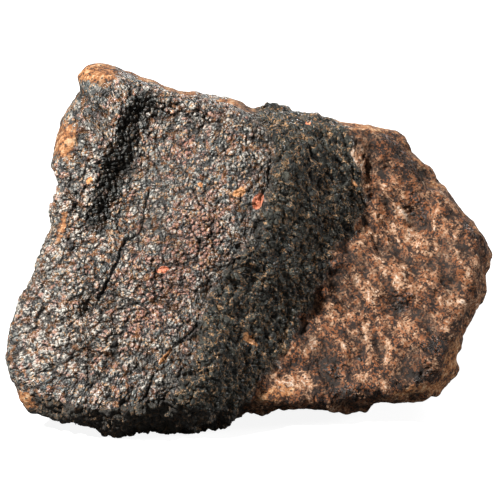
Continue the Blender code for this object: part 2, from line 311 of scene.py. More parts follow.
# The strip of rust along the top is full up to the first distance from the outline and ends at the
# second. It is nearly bare over this middle (across) and half width, which fades over this width.
TOP_EDGE = (0.8, 2.0)
TOP_BARE = (9.5, 9.5)
TOP_BARE_FADE = 3.0

# Marks this far off don't show.
FAR_OFF = 10.0

# Near-black colours: painted shade in the deep gaps between pebbles, polish and spots on the brown face,
# the rust's dark parts and grains, painted shade on the underside, the painted shadow in the bank,
# cracks, and painted shade in the hollows of the small relief. Then the roughness of the underside and
# of the rust.
GAP_PAINTED_SHADE = (0.004, 0.0035, 0.003, 1.0)
POLISH_BLACK = (0.010, 0.008, 0.006, 1.0)
SPOT_BLACK = (0.010, 0.006, 0.004, 1.0)
RUST_BLACK = (0.028, 0.012, 0.006, 1.0)
GRAIN_BLACK = (0.024, 0.018, 0.013, 1.0)
UNDER_PAINTED_SHADE = (0.016, 0.010, 0.006, 1.0)
BANK_PAINTED_SHADOW = (0.006, 0.007, 0.0055, 1.0)
CRACK_BLACK = (0.006, 0.005, 0.004, 1.0)
HOLLOW_PAINTED_SHADE = (0.012, 0.009, 0.006, 1.0)
UNDER_ROUGHNESS = 0.65
RUST_ROUGHNESS = 0.85

# The lights' azimuths and elevations in degrees: the main one high at the left, a weak one low at the
# right that makes the glints on the band, and one that lights the back.
KEY_DIRECTION = (-54.0, 43.0)
SIDE_DIRECTION = (88.0, 12.0)
BACK_DIRECTION = (165.0, 22.0)

# Lens, in mm, and how far the camera sees, in metres.
SENSOR_WIDTH = 36.0
SEEN_DISTANCE = 20.0

# Cracks in the crust: points (across, up), half width and depth, all in mm.
CRACKS = (
    (((-20.2, 12.0), (-21.0, 9.0), (-22.0, 4.6), (-23.0, 2.8), (-24.6, 2.0), (-26.0, -0.4)), 0.16, 0.7),
    (((-26.0, -0.4), (-27.2, -4.0), (-29.0, -7.0), (-30.6, -10.0), (-32.0, -11.8)), 0.28, 1.0),
    (((-32.0, -11.8), (-34.0, -13.4), (-36.6, -16.0)), 0.12, 0.4),
    (((-10.0, -14.4), (-11.6, -16.0), (-13.6, -17.6), (-15.6, -19.6), (-17.0, -21.6)), 0.15, 0.6),
    (((-17.0, -21.6), (-18.4, -23.4), (-20.0, -27.0), (-20.8, -29.6)), 0.12, 0.5),
    (((-32.6, -16.4), (-32.0, -20.0), (-32.4, -25.0), (-32.2, -30.5)), 0.10, 0.4),
    (((-37.6, -25.0), (-39.0, -27.2), (-39.8, -28.8)), 0.12, 0.4),
    (((-9.6, 31.0), (-10.4, 27.0), (-9.6, 23.0)), 0.08, 0.3),
)

# Tan veins that were filled by rust: points and half width.
VEINS = (
    (((-27.2, -17.4), (-28.6, -19.6), (-30.0, -22.2)), 0.10),
    (((-5.0, -13.0), (-2.0, -14.6), (0.4, -17.6), (1.0, -20.0)), 0.08),
    (((-0.8, -5.0), (1.6, -5.4), (4.4, -7.2), (5.4, -8.4)), 0.08),
    (((-37.0, 25.2), (-33.4, 26.8), (-30.8, 25.0), (-28.6, 23.0), (-27.4, 19.4)), 0.09),
    (((4.0, 24.6), (8.4, 24.0), (11.6, 21.6), (16.0, 20.4)), 0.05),
    (((3.6, 16.6), (6.4, 13.4), (9.8, 12.6), (12.4, 9.4)), 0.05),
)

# Grains and chips of their own colour: across, up, half length, half width, turn in degrees.
RED_CHIPS = (
    (1.6, 9.8, 1.8, 1.2, 55),
    (-17.4, -3.8, 1.2, 0.7, 15),
    (11.4, 25.0, 0.6, 0.5, 0),
)
ORANGE_CHIPS = (
    (-2.2, 11.5, 1.4, 0.9, 25),
    (-0.2, -17.8, 2.0, 0.8, -50),
    (-16.8, -21.0, 2.3, 0.5, 52),
    (-32.0, 13.8, 0.9, 0.6, 40),
    (-9.8, 13.0, 0.5, 0.5, 0),
    (20.6, 13.4, 0.9, 0.4, -60),
)

# Soft patches: across, up, half length, half width, turn in degrees, strength.
RUST_PATCHES = (
    (-31.0, 35.8, 4.6, 2.2, -8, 1.5),
    (-14.0, 32.4, 4.0, 1.3, -14, 1.2),
    (-36.9, 21.6, 3.4, 2.2, 80, 1.5),
    (-37.4, 5.0, 4.2, 1.0, 76, 0.9),
    (-44.2, -29.8, 2.6, 1.2, -50, 1.2),
    (5.0, -28.6, 5.6, 1.8, 12, 0.75),
    (39.6, -23.0, 5.0, 1.3, 75, 1.1),
    (33.0, -28.0, 6.0, 1.0, 12, 1.1),
    (25.0, 24.6, 6.0, 0.7, -8, 1.1),
)
RED_PATCHES = (
    (-11.0, 2.0, 12.0, 6.0, 55, 0.9),
    (-18.0, -10.0, 9.0, 5.0, 60, 0.7),
    (-14.0, 20.0, 5.0, 2.5, 70, 0.8),
    (-12.8, 20.6, 1.2, 1.8, 20, 2.0),
    (-14.4, -3.8, 1.4, 0.6, 0, 2.4),
    (-22.0, -15.0, 3.0, 2.0, 30, 1.2),
)
# Pale patches are partly pale stone and partly painted highlight, where the left edge, the bank's lip and
# raised ridges on the brown face catch the light.
PALE_AND_LIT_PATCHES = (
    (-33.0, 19.0, 5.0, 3.0, 60, 0.8),
    (-38.0, 1.0, 12.0, 3.6, 75, 1.2),
    (-37.0, -16.0, 11.0, 8.0, 10, 0.8),
    (-29.0, 24.0, 5.0, 1.2, 62, 0.9),
    (-18.0, 24.0, 8.0, 4.0, 10, 0.2),
    (21.6, 17.5, 5.5, 0.9, -76, 1.3),
    (31.4, 6.6, 3.2, 0.9, -55, 1.2),
    (22.8, -8.2, 3.6, 0.9, -55, 1.5),
    (22.6, 0.2, 2.4, 0.9, -75, 0.9),
    (30.0, -5.6, 2.6, 1.2, -70, 0.9),
    (22.0, -17.0, 1.6, 1.4, 0, 0.9),
    (22.0, -25.2, 0.8, 1.0, 0, 1.2),
    (31.0, -13.0, 2.8, 0.9, -70, 1.0),
    (27.0, -21.0, 3.0, 1.0, -65, 0.9),
    (41.4, -10.4, 1.4, 1.4, 0, 0.9),
    (38.4, 0.0, 3.0, 2.0, -20, 0.8),
    (12.4, -18.6, 2.4, 1.3, 60, 0.8),
    (33.0, -21.0, 3.0, 1.6, 20, 0.6),
    (9.0, -26.4, 4.0, 1.3, -10, 0.9),
    (24.0, 19.0, 3.0, 1.2, -60, 0.5),
    (26.0, -2.0, 2.0, 4.0, 0, 0.5),
)
# Dark patches are partly dark polished stone and partly painted shade in the brown face's hollows.
DARK_AND_SHADED_PATCHES = (
    (34.0, 7.6, 3.6, 2.0, -60, 1.1),
    (30.2, -10.8, 2.6, 1.8, 40, 1.0),
    (44.6, 3.4, 3.6, 1.6, -58, 0.9),
    (17.0, -23.5, 6.0, 2.4, 0, 0.9),
    (19.0, -28.0, 7.0, 1.6, 4, 0.8),
    (35.0, -9.0, 3.0, 1.4, 0, 0.6),
    (37.4, -21.0, 2.6, 2.4, 0, 0.8),
    (30.0, 18.8, 4.0, 2.4, -40, 0.7),
    (36.0, -18.0, 4.0, 2.6, 30, 0.6),
    (21.0, -15.0, 4.0, 2.0, 20, 0.5),
    (-34.0, 26.0, 5.0, 2.2, 12, 0.9),
    (33.0, -26.0, 7.0, 1.8, 12, 0.6),
    (30.0, 23.0, 6.0, 1.6, -30, 0.6),
    (18.0, -2.0, 1.4, 6.0, -30, 0.6),
)


# Arrays and curves.

def smooth_line(points, steps=8):
    """A curve through the points, as a Catmull-Rom spline with this many steps a span."""
    knots = np.array(points, float)
    before = np.vstack([2 * knots[:1] - knots[1:2], knots[:-1]])
    after = np.vstack([knots[1:], 2 * knots[-1:] - knots[-2:-1]])
    t = (np.arange(steps) / steps)[None, :, None]
    start, end = knots[:-1, None], knots[1:, None]
    leave, arrive = (after - before)[:-1, None] / 2, (after - before)[1:, None] / 2
    spans = (
        (2 * t**3 - 3 * t**2 + 1) * start
        + (t**3 - 2 * t**2 + t) * leave
        + (3 * t**2 - 2 * t**3) * end
        + (t**3 - t**2) * arrive
    )
    return np.vstack([spans.reshape(-1, 2), knots[-1:]])


def past_line(across, up, points):
    """How far each point is past a nearly straight line, on its right hand, and where along it.

    The line wanders off its chord. Near the line the distance is measured from the line itself,
    and far away from its chord, so that a fold follows the line and the faces beside it stay even.
    The place along it is 0 at the chord's start and 1 at its end.
    """
    line = smooth_line(points)
    start, end = line[0], line[-1]
    length = math.dist(start, end)
    ahead = (end - start) / length
    right = np.array((ahead[1], -ahead[0]))
    along = (across - start[0]) * ahead[0] + (up - start[1]) * ahead[1]
    over = (across - start[0]) * right[0] + (up - start[1]) * right[1]
    wander = np.interp(along, (line - start) @ ahead, (line - start) @ right)
    past = over - wander
    return past + wander * (1 - np.exp(-((past / BEND_REACH) ** 2))), along / length


def distance_to_path(across, up, points):
    """Distance from each point to the nearest spot of a curve through the points."""
    line = smooth_line(points, steps=4)
    nearest = np.full(across.shape, np.inf)
    for (ax, ay), (bx, by) in zip(line[:-1], line[1:]):
        dx, dy = bx - ax, by - ay
        along = np.clip(((across - ax) * dx + (up - ay) * dy) / (dx * dx + dy * dy), 0, 1)
        gap = np.hypot(across - ax - along * dx, up - ay - along * dy)
        nearest = np.minimum(nearest, gap)
    return nearest


def soft_ramp(distance, softness):
    """0 well before the line and the distance itself well past it, rounded in between."""
    return 0.5 * (distance + np.sqrt(distance**2 + softness**2))


def soft_step(value, low, high):
    """0 below low, 1 above high, and 3 t^2 - 2 t^3 in between."""
    t = np.clip((value - low) / (high - low), 0, 1)
    return t * t * (3 - 2 * t)


def ovals(across, up, list_of_ovals):
    """For each oval (across, up, half length, half width, turn, ...), the squared distance in halves."""
    for middle_x, middle_y, half_length, half_width, turn, *rest in list_of_ovals:
        angle = math.radians(turn)
        x, y = across - middle_x, up - middle_y
        along = x * math.cos(angle) + y * math.sin(angle)
        over = y * math.cos(angle) - x * math.sin(angle)
        yield (along / half_length) ** 2 + (over / half_width) ** 2, rest


def patches(across, up, list_of_patches):
    """Bells over turned ovals, strength times exp(-d^2), added up."""
    total = np.zeros(across.shape)
    for squared, (strength,) in ovals(across, up, list_of_patches):
        total += strength * np.exp(-squared)
    return total


def smooth_noise(points, spacing, seed):
    """Random height from -1 to 1 that changes smoothly over the spacing."""
    lattice = np.random.default_rng(seed).uniform(-1, 1, (LATTICE_SIDE,) * 3)
    place = points / spacing
    cell = np.floor(place).astype(int)
    share = place - cell
    share = share * share * (3 - 2 * share)
    height = np.zeros(len(points))
    for corner in np.ndindex(2, 2, 2):
        weight = np.prod(np.where(corner, share, 1 - share), axis=1)
        i, j, k = ((cell + corner) % LATTICE_SIDE).T
        height += weight * lattice[i, j, k]
    return height


def random_lattice(seed, *numbers):
    """Random numbers from 0 to 1 for each cell of the lattice."""
    return np.random.default_rng(seed).uniform(0, 1, (LATTICE_SIDE,) * 3 + numbers)


def lattice_gaps(points, spacing, centres):
    """For the 27 cells round each point, one by one: the way from its centre, and its number.

    Centres are places in their cells, and ways are in spacings.
    """
    place = points / spacing
    cell = np.floor(place).astype(int)
    for step in np.ndindex(3, 3, 3):
        neighbour = cell + step - 1
        number = tuple((neighbour % LATTICE_SIDE).T)
        yield place - neighbour - centres[number], number


def hollows(points, spacing, seed):
    """Squared distance to the nearest centre of a loose lattice, in spacings, rounded at the ridges."""
    nearness = np.zeros(len(points))
    for offset, _ in lattice_gaps(points, spacing, random_lattice(seed, 3)):
        nearness += np.exp(-THUMBPRINT_SHARPNESS * (offset**2).sum(axis=1))
    return -np.log(nearness) / THUMBPRINT_SHARPNESS


def pebbles(points, spacing, seed):
    """Pebbles packed side by side: their height, the crevices between them, and each one's own number.

    With the distances f and g to the nearest and the next centre, the height is a dome 1 - fall * f^2,
    less a crevice exp(-(g - f) / width) where two meet, plus a share of the pebble's own number, plus
    a slope over the pebble in a direction of its own.
    """
    centres = random_lattice(seed, 3)
    numbers = random_lattice(seed + 100)
    leans = 2 * random_lattice(seed + 200, 3) - 1
    nearest = np.full(len(points), np.inf)
    following = np.full(len(points), np.inf)
    own = np.zeros(len(points))
    lean = np.zeros(len(points))
    for offset, number in lattice_gaps(points, spacing, centres):
        gap = (offset**2).sum(axis=1)
        closer = gap < nearest
        following = np.where(closer, nearest, np.minimum(following, gap))
        nearest = np.where(closer, gap, nearest)
        own = np.where(closer, numbers[number], own)
        lean = np.where(closer, (offset * leans[number]).sum(axis=1), lean)
    crevice = np.exp(-(np.sqrt(following) - np.sqrt(nearest)) / CREVICE_WIDTH)
    height = 1 - DOME_FALL * nearest - CREVICE_DEPTH * crevice + DOME_RISE * own + DOME_LEAN * lean
    return height, crevice, own


def specks(points, spacing, width, share, seed):
    """Bells exp(-(f / width)^2) round this share of a loose lattice's centres, at a distance f."""
    centres = random_lattice(seed, 3)
    numbers = random_lattice(seed + 100)
    height = np.zeros(len(points))
    for offset, number in lattice_gaps(points, spacing, centres):
        gap = (offset**2).sum(axis=1)
        height = np.maximum(height, np.where(numbers[number] < share, np.exp(-gap / width**2), 0))
    return height


# The plain stone.

def rim_radius(across, up, past_rim):
    """Distance from the middle to the rim, in the direction of each point.

    At the rim it is the outline's, and away from it that of the outline smoothed round the stone.
    """
    full = 2 * np.pi
    line = smooth_line(OUTLINE + OUTLINE[:1])
    turn = np.arange(TURN_STEPS) * full / TURN_STEPS
    outline = np.interp(turn, np.arctan2(line[:, 1], line[:, 0]), np.hypot(*line.T), period=full)
    weights = np.exp(-((np.minimum(turn, full - turn) / math.radians(SMOOTHING_DEGREES)) ** 2))
    spread = np.fft.rfft(weights / weights.sum())
    smoothed = np.fft.irfft(np.fft.rfft(outline) * spread, TURN_STEPS) - SMOOTHED_INSET
    angle = np.arctan2(up, across)
    detailed = np.interp(angle, turn, outline, period=full)
    plain = np.interp(angle, turn, smoothed, period=full)
    return plain + (detailed - plain) * np.exp(-((past_rim / NOTCH_DEPTH) ** 2))


def plane_depth(plane, across, up):
    """Depth of a plane: its depth at the middle, and how it changes per mm across and up, added up."""
    return plane[0] + plane[1] * across + plane[2] * up


def front_depth(across, up):
    """Depth of the front: the left face, folded along the ridge, the crease and the undercut."""
    depth = plane_depth(LEFT_FACE, across, up)
    for line, slope, softness in FOLDS:
        depth = depth + slope * soft_ramp(past_line(across, up, line)[0], softness)
    return depth


def outside(points):
    """How far each point is outside the plain stone, in mm, and below zero inside it.

    It is the highest of the distances past the rim, the front and the back faces. Taking the logarithm
    of their exponentials' sum, instead of the highest one, rounds the edges between them.
    """
    across, up, away = points.T
    past_rim = away - plane_depth(RIM_DEPTH, across, up)
    lean = np.where(past_rim < 0, FRONT_LEAN, BACK_LEAN)
    rim = np.hypot(across, up) - rim_radius(across, up, past_rim)
    rim += lean * (np.hypot(past_rim, RIM_ROUNDING) - RIM_ROUNDING)
    faces = [rim, front_depth(across, up) - away]
    for (nx, ny, nz), distance in BACK_FACES:
        faces.append((nx * across + ny * up + nz * away) / math.hypot(nx, ny, nz) - distance)
    faces = np.array(faces) / EDGE_ROUNDING
    highest = faces.max(axis=0)
    return EDGE_ROUNDING * (highest + np.log(np.exp(faces - highest).sum(axis=0)))


def plain_stone(directions):
    """Where a ray in each direction leaves the plain stone, found by halving the ray."""
    across, up, away = (directions * np.array(REACH)).T
    start = np.stack([DISC_SHARE * across, DISC_SHARE * up, 0 * away], axis=1)
    start[:, 2] = DISC_DEPTH + plane_depth(RIM_DEPTH, start[:, 0], start[:, 1])
    ray = np.stack([(1 - DISC_SHARE) * across, (1 - DISC_SHARE) * up, away], axis=1)
    ray /= np.linalg.norm(ray, axis=1, keepdims=True)
    near = np.zeros(len(ray))
    far = np.full(len(ray), RAY_LENGTH)
    for _ in range(RAY_HALVINGS):
        middle = (near + far) / 2
        out = outside(start + ray * middle[:, None]) > 0
        far = np.where(out, middle, far)
        near = np.where(out, near, middle)
    return start + ray * near[:, None]


def outward(points):
    """Unit normals of the plain stone, from how fast outside() changes along each axis."""
    step = 0.05
    slopes = [outside(points + step * axis) - outside(points - step * axis) for axis in np.eye(3)]
    normals = np.stack(slopes, axis=1)
    return normals / np.linalg.norm(normals, axis=1, keepdims=True)


def bank_depth(across, up):
    """Depth of the face right of the bank's lip: a ramp over its width, then a gentle way back."""
    past, along = past_line(across, up, BANK_LIP)
    beyond = soft_ramp(past - BANK_WIDTH, BANK_FOOT_SOFTNESS)
    drop = BANK_SLOPE * (soft_ramp(past, BANK_LIP_SOFTNESS) - beyond)
    fade = np.clip(np.minimum(along, 1 - along) / BANK_FADE, 0, 1)
    return drop * np.exp(-((beyond / BANK_REACH) ** 2)) * fade * fade * (3 - 2 * fade)


def dent_depth(across, up):
    """Depth of the pits and waves: each a bell over a turned oval, exp(-x^2 - y^2) in its halves."""
    return patches(across, up, PITS + RIGHT_FACE_WAVES + LEFT_FACE_SWELLINGS)


# The two sheets of the surface.

def square_to_ball(u, v, side):
    """Directions for points of the square from -1 to 1, as a sheet over half a ball.

    The square's rings become circles with even spacing round the middle, a circle's radius is drawn
    towards the middle by the gathering, and equal areas of the disc become equal areas of the ball.
    side is -1 for the front sheet and 1 for the back sheet.
    """
    wide = np.abs(u) > np.abs(v)
    radius = np.where(wide, u, v)
    safe = np.where(radius == 0, 1.0, radius)
    angle = np.where(wide, np.pi / 4 * v / safe, np.pi / 2 - np.pi / 4 * u / safe)
    share = np.abs(radius)
    drawn = (1 - GATHERING) * share + GATHERING * share**GATHERING_POWER
    height = 1 - drawn**2
    ring = np.sqrt(1 - height**2) * np.sign(radius)
    return np.stack([ring * np.cos(angle), ring * np.sin(angle), side * height], axis=-1)


def square_grid(cells, reach):
    """u and v of a square grid's points, row by row."""
    line = np.linspace(-reach, reach, cells + 1)
    v, u = np.meshgrid(line, line, indexing="ij")
    return u.ravel(), v.ravel()


def square_faces(cells_u, cells_v, first):
    """Corner numbers of a grid's faces, anticlockwise in u and v, from the first point's number."""
    i, j = np.meshgrid(np.arange(cells_v), np.arange(cells_u), indexing="ij")
    corner = (first + i * (cells_u + 1) + j).ravel()
    return np.stack([corner, corner + 1, corner + cells_u + 2, corner + cells_u + 1], axis=1)


def square_border(cells, first):
    """Numbers of the points round a square grid's border, anticlockwise in u and v."""
    n = cells + 1
    bottom = np.arange(cells)
    right = np.arange(cells) * n + cells
    top = cells * n + cells - np.arange(cells)
    left = (cells - np.arange(cells)) * n
    return first + np.concatenate([bottom, right, top, left])


def seam_faces(front_border, back_border):
    """Triangles between the sheets: each group of three front edges meets two back edges."""
    front = np.append(front_border, front_border[0])
    back = np.append(back_border, back_border[0])
    f = [front[k::3][:len(front_border) // 3] for k in range(3)] + [front[3::3]]
    b = [back[k::2][:len(back_border) // 2] for k in range(2)] + [back[2::2]]
    rows = (
        (f[0], b[0], f[1]),
        (b[0], b[1], f[1]),
        (f[1], b[1], f[2]),
        (b[1], b[2], f[2]),
        (f[2], b[2], f[3]),
    )
    return np.concatenate([np.stack(row, axis=1) for row in rows])


def body_grid():
    """The body's closed grid: a front sheet, a back sheet and the seam between them.

    Returns u, v and the side for each point, the faces with four and with three corners as point
    numbers, and the places on the unwrapped map for each face corner.
    """
    front_u, front_v = square_grid(FRONT_CELLS, 1.0)
    back_u, back_v = square_grid(BACK_CELLS, BACK_EDGE)
    first_back = len(front_u)
    u = np.concatenate([front_u, back_u])
    v = np.concatenate([front_v, back_v])
    side = np.where(np.arange(len(u)) < first_back, -1.0, 1.0)
    front = square_faces(FRONT_CELLS, FRONT_CELLS, 0)
    back = square_faces(BACK_CELLS, BACK_CELLS, first_back)[:, ::-1]
    seam = seam_faces(square_border(FRONT_CELLS, 0), square_border(BACK_CELLS, first_back))
    front_map = chart(-v, u, FRONT_CHART)
    back_map = chart(v, u, BACK_CHART)
    corner_map = np.concatenate(
        [front_map[front.ravel()], back_map[back.ravel()], back_map[seam.ravel()]]
    )
    return u, v, side, np.concatenate([front, back]), seam, corner_map


def chart(sideways, upwards, span):
    """Places on the unwrapped map, in a strip across the span, for a sheet's square from -1 to 1."""
    x = span[0] + (span[1] - span[0]) * (sideways + 1) / 2
    y = CHART_MARGIN + (1 - 2 * CHART_MARGIN) * (upwards + 1) / 2
    return np.stack([x, y], axis=-1)


def face_normals(points, quads, triangles=()):
    """Unit normals at the points: the cross products of each face's diagonals or sides, added up.

    The view's three directions are left-handed, so the products are turned round to point outwards.
    """
    total = np.zeros(points.shape)
    a, b, c, d = points[quads.T]
    for corner in quads.T:
        np.add.at(total, corner, np.cross(c - a, d - b))
    if len(triangles):
        a, b, c = points[triangles.T]
        for corner in triangles.T:
            np.add.at(total, corner, np.cross(b - a, c - a))
    return -total / np.linalg.norm(total, axis=1, keepdims=True)


def coarse_relief(points, normals):
    """The plain stone's points moved by its thumbprints, lumps, bank and dents, as in the solid.

    They move along the normals, thumbprints where their level is over the hollows' own, lumps by
    noise, both less near the rim. The bank and the dents move the front straight away from the eye.
    """
    across, up, away = points.T
    past_rim = away - plane_depth(RIM_DEPTH, across, up)
    on_front = np.clip(-normals[:, 2] / FRONT_SQUARENESS, 0, 1)
    on_right = on_front * np.clip(past_line(across, up, CREASE)[0] / RIGHT_START, 0, 1)
    on_back = np.clip(past_rim / BACK_START, 0, 1)
    thumbprints = BACK_THUMBPRINTS * on_back + RIGHT_THUMBPRINTS * on_right
    inward = thumbprints * (THUMBPRINT_LEVEL - hollows(points, THUMBPRINT_SPACING, STONE_SEED))
    for n, (spacing, height) in enumerate(LUMPS):
        inward -= height * smooth_noise(points, spacing, STONE_SEED + n)
    near_rim = np.exp(-((past_rim / QUIET_RIM) ** 2)) * (1 - np.abs(normals[:, 2]))
    inward *= 1 - QUIET_SHARE * near_rim
    moved = points - normals * inward[:, None]
    moved[:, 2] += on_front * (bank_depth(across, up) + dent_depth(across, up))
    return moved


# What covers the stone where, as values from 0 to 1 on the surface.

def cover(points, normals):
    """Shares of the crust, band, brown face, underside and rust at each point, and soft patches.

    The front's zones end at its fold lines, whose edges wander by noise, and the back is mottled by
    noise. The crust is what none of the others covers.
    """
    across, up, away = points.T
    wobble = layered_noise(points, WOBBLE)
    mottle = layered_noise(points, MOTTLE)
    past_ridge = past_line(across, up, RIDGE)[0] + wobble
    past_crease = past_line(across, up, CREASE)[0] + 1.5 * wobble
    past_undercut = past_line(across, up, UNDERCUT)[0] + 0.4 * wobble
    back = soft_step(away - plane_depth(RIM_DEPTH, across, up) + wobble, *RIM_FADE)
    front = 1 - back
    left = soft_step(-past_ridge, *RIDGE_FADE)
    right = soft_step(past_crease, *CREASE_FADE)
    under = soft_step(past_undercut, *UNDERCUT_FADE) * soft_step(-past_crease, *UNDER_END)
    # The bank's value says where the painted shadow over its wall lies.
    past_lip, along_lip = past_line(across, up, BANK_LIP)
    bank = soft_step(past_lip + 0.6 * wobble, *BANK_SHADE_START)
    bank *= soft_step(-past_lip - wobble, *BANK_SHADE_END)
    bank *= soft_step(np.minimum(along_lip, 1 - along_lip), *BANK_SHADE_TIPS)
    return {
        "band": front * (1 - left) * (1 - right) + back * soft_step(-mottle, *BACK_BAND_FADE),
        "brown": front * right + back * soft_step(mottle, *BACK_BROWN_FADE),
        "under": under * front,
        "bank": bank * front,
        "rust": rust_share(points, normals, wobble, mottle, front),
        "red": patches(across, up, RED_PATCHES) * front,
        # The pale patches lighten the stone, partly as painted highlight, and the dark ones darken it,
        # partly as painted shade.
        "pale": patches(across, up, PALE_AND_LIT_PATCHES) * front,
        "dark": patches(across, up, DARK_AND_SHADED_PATCHES) * front,
    }


def rust_share(points, normals, wobble, mottle, front):
    """How rusty each point is: a strip along the top, a little on the side walls, patches, mottles.

    The strip fades out with the distance from the outline, lies where the stone faces up, is crumbled
    by noise, and has a bare stretch. The walls are where the stone faces sideways.
    """
    across, up, _ = points.T
    from_outline = rim_radius(across, up, 0 * up) - np.hypot(across, up)
    strip = soft_step(-from_outline - 0.4 * wobble, -TOP_EDGE[1], -TOP_EDGE[0])
    strip *= soft_step(normals[:, 1], *FACES_UP)
    strip *= np.clip(0.7 + layered_noise(points, CRUMBLE), 0, 1)
    strip *= 1 - 0.9 * soft_step(-np.abs(across - TOP_BARE[0]), -TOP_BARE[1], TOP_BARE_FADE - TOP_BARE[1])
    wall = 1 - soft_step(-normals[:, 2], *FACES_FRONT)
    left_wall = wall * soft_step(-normals[:, 0], *FACES_SIDE)
    right_wall = wall * soft_step(normals[:, 0], *FACES_SIDE)
    rust = TOP_RUST * strip * (0.5 + 0.5 * front)
    rust += LEFT_WALL_RUST * left_wall + RIGHT_WALL_RUST * right_wall * front
    rust += patches(across, up, RUST_PATCHES) * front
    return rust + BACK_RUST * (1 - front) * soft_step(mottle, *BACK_RUST_FADE)


def line_marks(points, front):
    """Distances in mm to the cracks' and veins' edges, and squared distances to the chips, in halves.

    Also the cracks' grooves in mm, each depth * exp(-(distance / width)^2). Marks lie in front only.
    """
    across, up, _ = points.T
    wander = layered_noise(points, WANDER)
    hidden = FAR_OFF * (1 - front)
    crack = np.full(across.shape, FAR_OFF)
    groove = np.zeros(across.shape)
    for path, half_width, depth in CRACKS:
        gap = distance_to_path(across + wander, up - wander, path)
        crack = np.minimum(crack, gap - half_width)
        groove = np.maximum(groove, depth * np.exp(-((gap / max(half_width, CRACK_SHOULDER)) ** 2)))
    vein = np.full(across.shape, FAR_OFF)
    for path, half_width in VEINS:
        vein = np.minimum(vein, distance_to_path(across - wander, up + wander, path) - half_width)
    marks = {"crack": crack + hidden, "vein": vein + hidden}
    for name, chips in (("red_chip", RED_CHIPS), ("orange_chip", ORANGE_CHIPS)):
        nearest = np.full(across.shape, FAR_OFF)
        for squared, _ in ovals(across + wander, up, chips):
            nearest = np.minimum(nearest, squared)
        marks[name] = nearest + hidden
    return marks, groove * front


def turned(points, degrees, long_side, short_side):
    """Points seen along a line that is turned in the view, squeezed for a pattern stretched along it."""
    angle = math.radians(degrees)
    along = points[:, 0] * math.cos(angle) + points[:, 1] * math.sin(angle)
    over = points[:, 1] * math.cos(angle) - points[:, 0] * math.sin(angle)
    return np.stack([along / long_side, over / short_side, points[:, 2] / short_side], axis=1)


def layered_noise(points, layers, finest=0.0):
    """Noises of several spacings added up, each by its height, without those too small to show."""
    height = np.zeros(len(points))
    for spacing, layer_height, seed in layers:
        if spacing >= finest:
            height += layer_height * smooth_noise(points, spacing, seed)
    return height


def stretched_noise(points, waves):
    """Noises stretched along turned lines added up, each by its height."""
    height = np.zeros(len(points))
    for turn, long_side, short_side, wave_height, seed in waves:
        height += wave_height * smooth_noise(turned(points, turn, long_side, short_side), 1.0, seed)
    return height


def scales(points, kinds, finest):
    """Pebbles stretched along turned lines added up, each by its height, without those too small."""
    height = np.zeros(len(points))
    for turn, long_side, short_side, spacing, scale_height, seed in kinds:
        if spacing >= finest:
            height += scale_height * pebbles(turned(points, turn, long_side, short_side), spacing, seed)[0]
    return height


def crust_relief(points, pebble_height, finest):
    """Pebbles of several sizes on gentle lumps: their height in mm, crevices and tones.

    Each size adds pebble height * its share * (dome - middle), and its own numbers to the tone. The
    pebbles' places are bent by noise, and they are higher in some places than in others.
    """
    bend = np.stack([smooth_noise(points, 2.3, seed) for seed in (31, 32, 33)], axis=1)
    bent = points + PEBBLE_BEND * bend
    strength = 1 + PEBBLE_RISE * smooth_noise(points, 9.0, 29)
    height = layered_noise(points, CRUST_BUMPS, finest)
    crevices = np.zeros(len(points))
    tone = np.zeros(len(points))
    for n, (spacing, height_share, tone_share) in enumerate(PEBBLES):
        if spacing >= finest:
            dome, crevice, own = pebbles(bent, spacing, PEBBLE_SEED + n)
            height += pebble_height * height_share * strength * (dome - DOME_MIDDLE)
            crevices = np.maximum(crevices, crevice)
            tone += tone_share * own
    return height, crevices, tone


def band_relief(points, finest):
    """Ripples along the band's diagonal, bumps, scales, and rings round the nose, in mm.

    The rings are sin(2 pi * distance from the nose's middle / their spacing), moved about by noise,
    times exp(-(distance / reach)^2).
    """
    height = stretched_noise(points, BAND_RIPPLES) + layered_noise(points, BAND_BUMPS, finest)
    height += scales(points, BAND_SCALES, finest)
    across, up, _ = points.T
    distance = np.hypot(across - NOSE[0], up - NOSE[1])
    rings = np.sin(2 * np.pi * (distance + 0.9 * smooth_noise(points, 3.0, 38)) / NOSE_RING_SPACING)
    return height + NOSE_RING_HEIGHT * np.exp(-((distance / NOSE[2]) ** 2)) * rings


def brown_relief(points, polish, finest):
    """Waves down a steep diagonal, bumps, small pits, and scales that stand out where polished, in mm."""
    height = stretched_noise(points, BROWN_WAVES) + layered_noise(points, BROWN_BUMPS, finest)
    height += (1 + polish) * scales(points, BROWN_SCALES, finest)
    if finest < BODY_FINEST:
        spacing, width, share, depth = BROWN_PITS
        height -= depth * specks(points, spacing, width, share, 46)
        height += (0.05 + 0.10 * polish) * pebbles(points, 0.80, 50)[0]
    return height


def fine_relief(points, shares, pebble_height, finest):
    """Height in mm of the small relief, mixed by what covers the stone, with crevices and tones.

    The ridge is worn: wear * exp(-(distance / width)^2) comes off it, and chips where a noise is high.
    """
    height, crevices, tone = crust_relief(points, pebble_height, finest)
    band_height = band_relief(points, finest)
    layers = (
        (shares["band"], band_height),
        (shares["brown"], brown_relief(points, np.clip(shares["dark"], 0, 1), finest)),
        (shares["under"], UNDER_ROUGHER * band_height),
        (shares["rust"], layered_noise(points, RUST_BUMPS, finest)),
    )
    for share, layer_height in layers:
        height = height + (layer_height - height) * np.clip(share, 0, 1)
    worn = np.exp(-((past_line(points[:, 0], points[:, 1], RIDGE)[0] / RIDGE_WEAR_WIDTH) ** 2))
    height -= worn * (RIDGE_WEAR + RIDGE_CHIPS * np.clip(smooth_noise(points, 2.8, 55), 0, 1))
    return height, crevices, tone


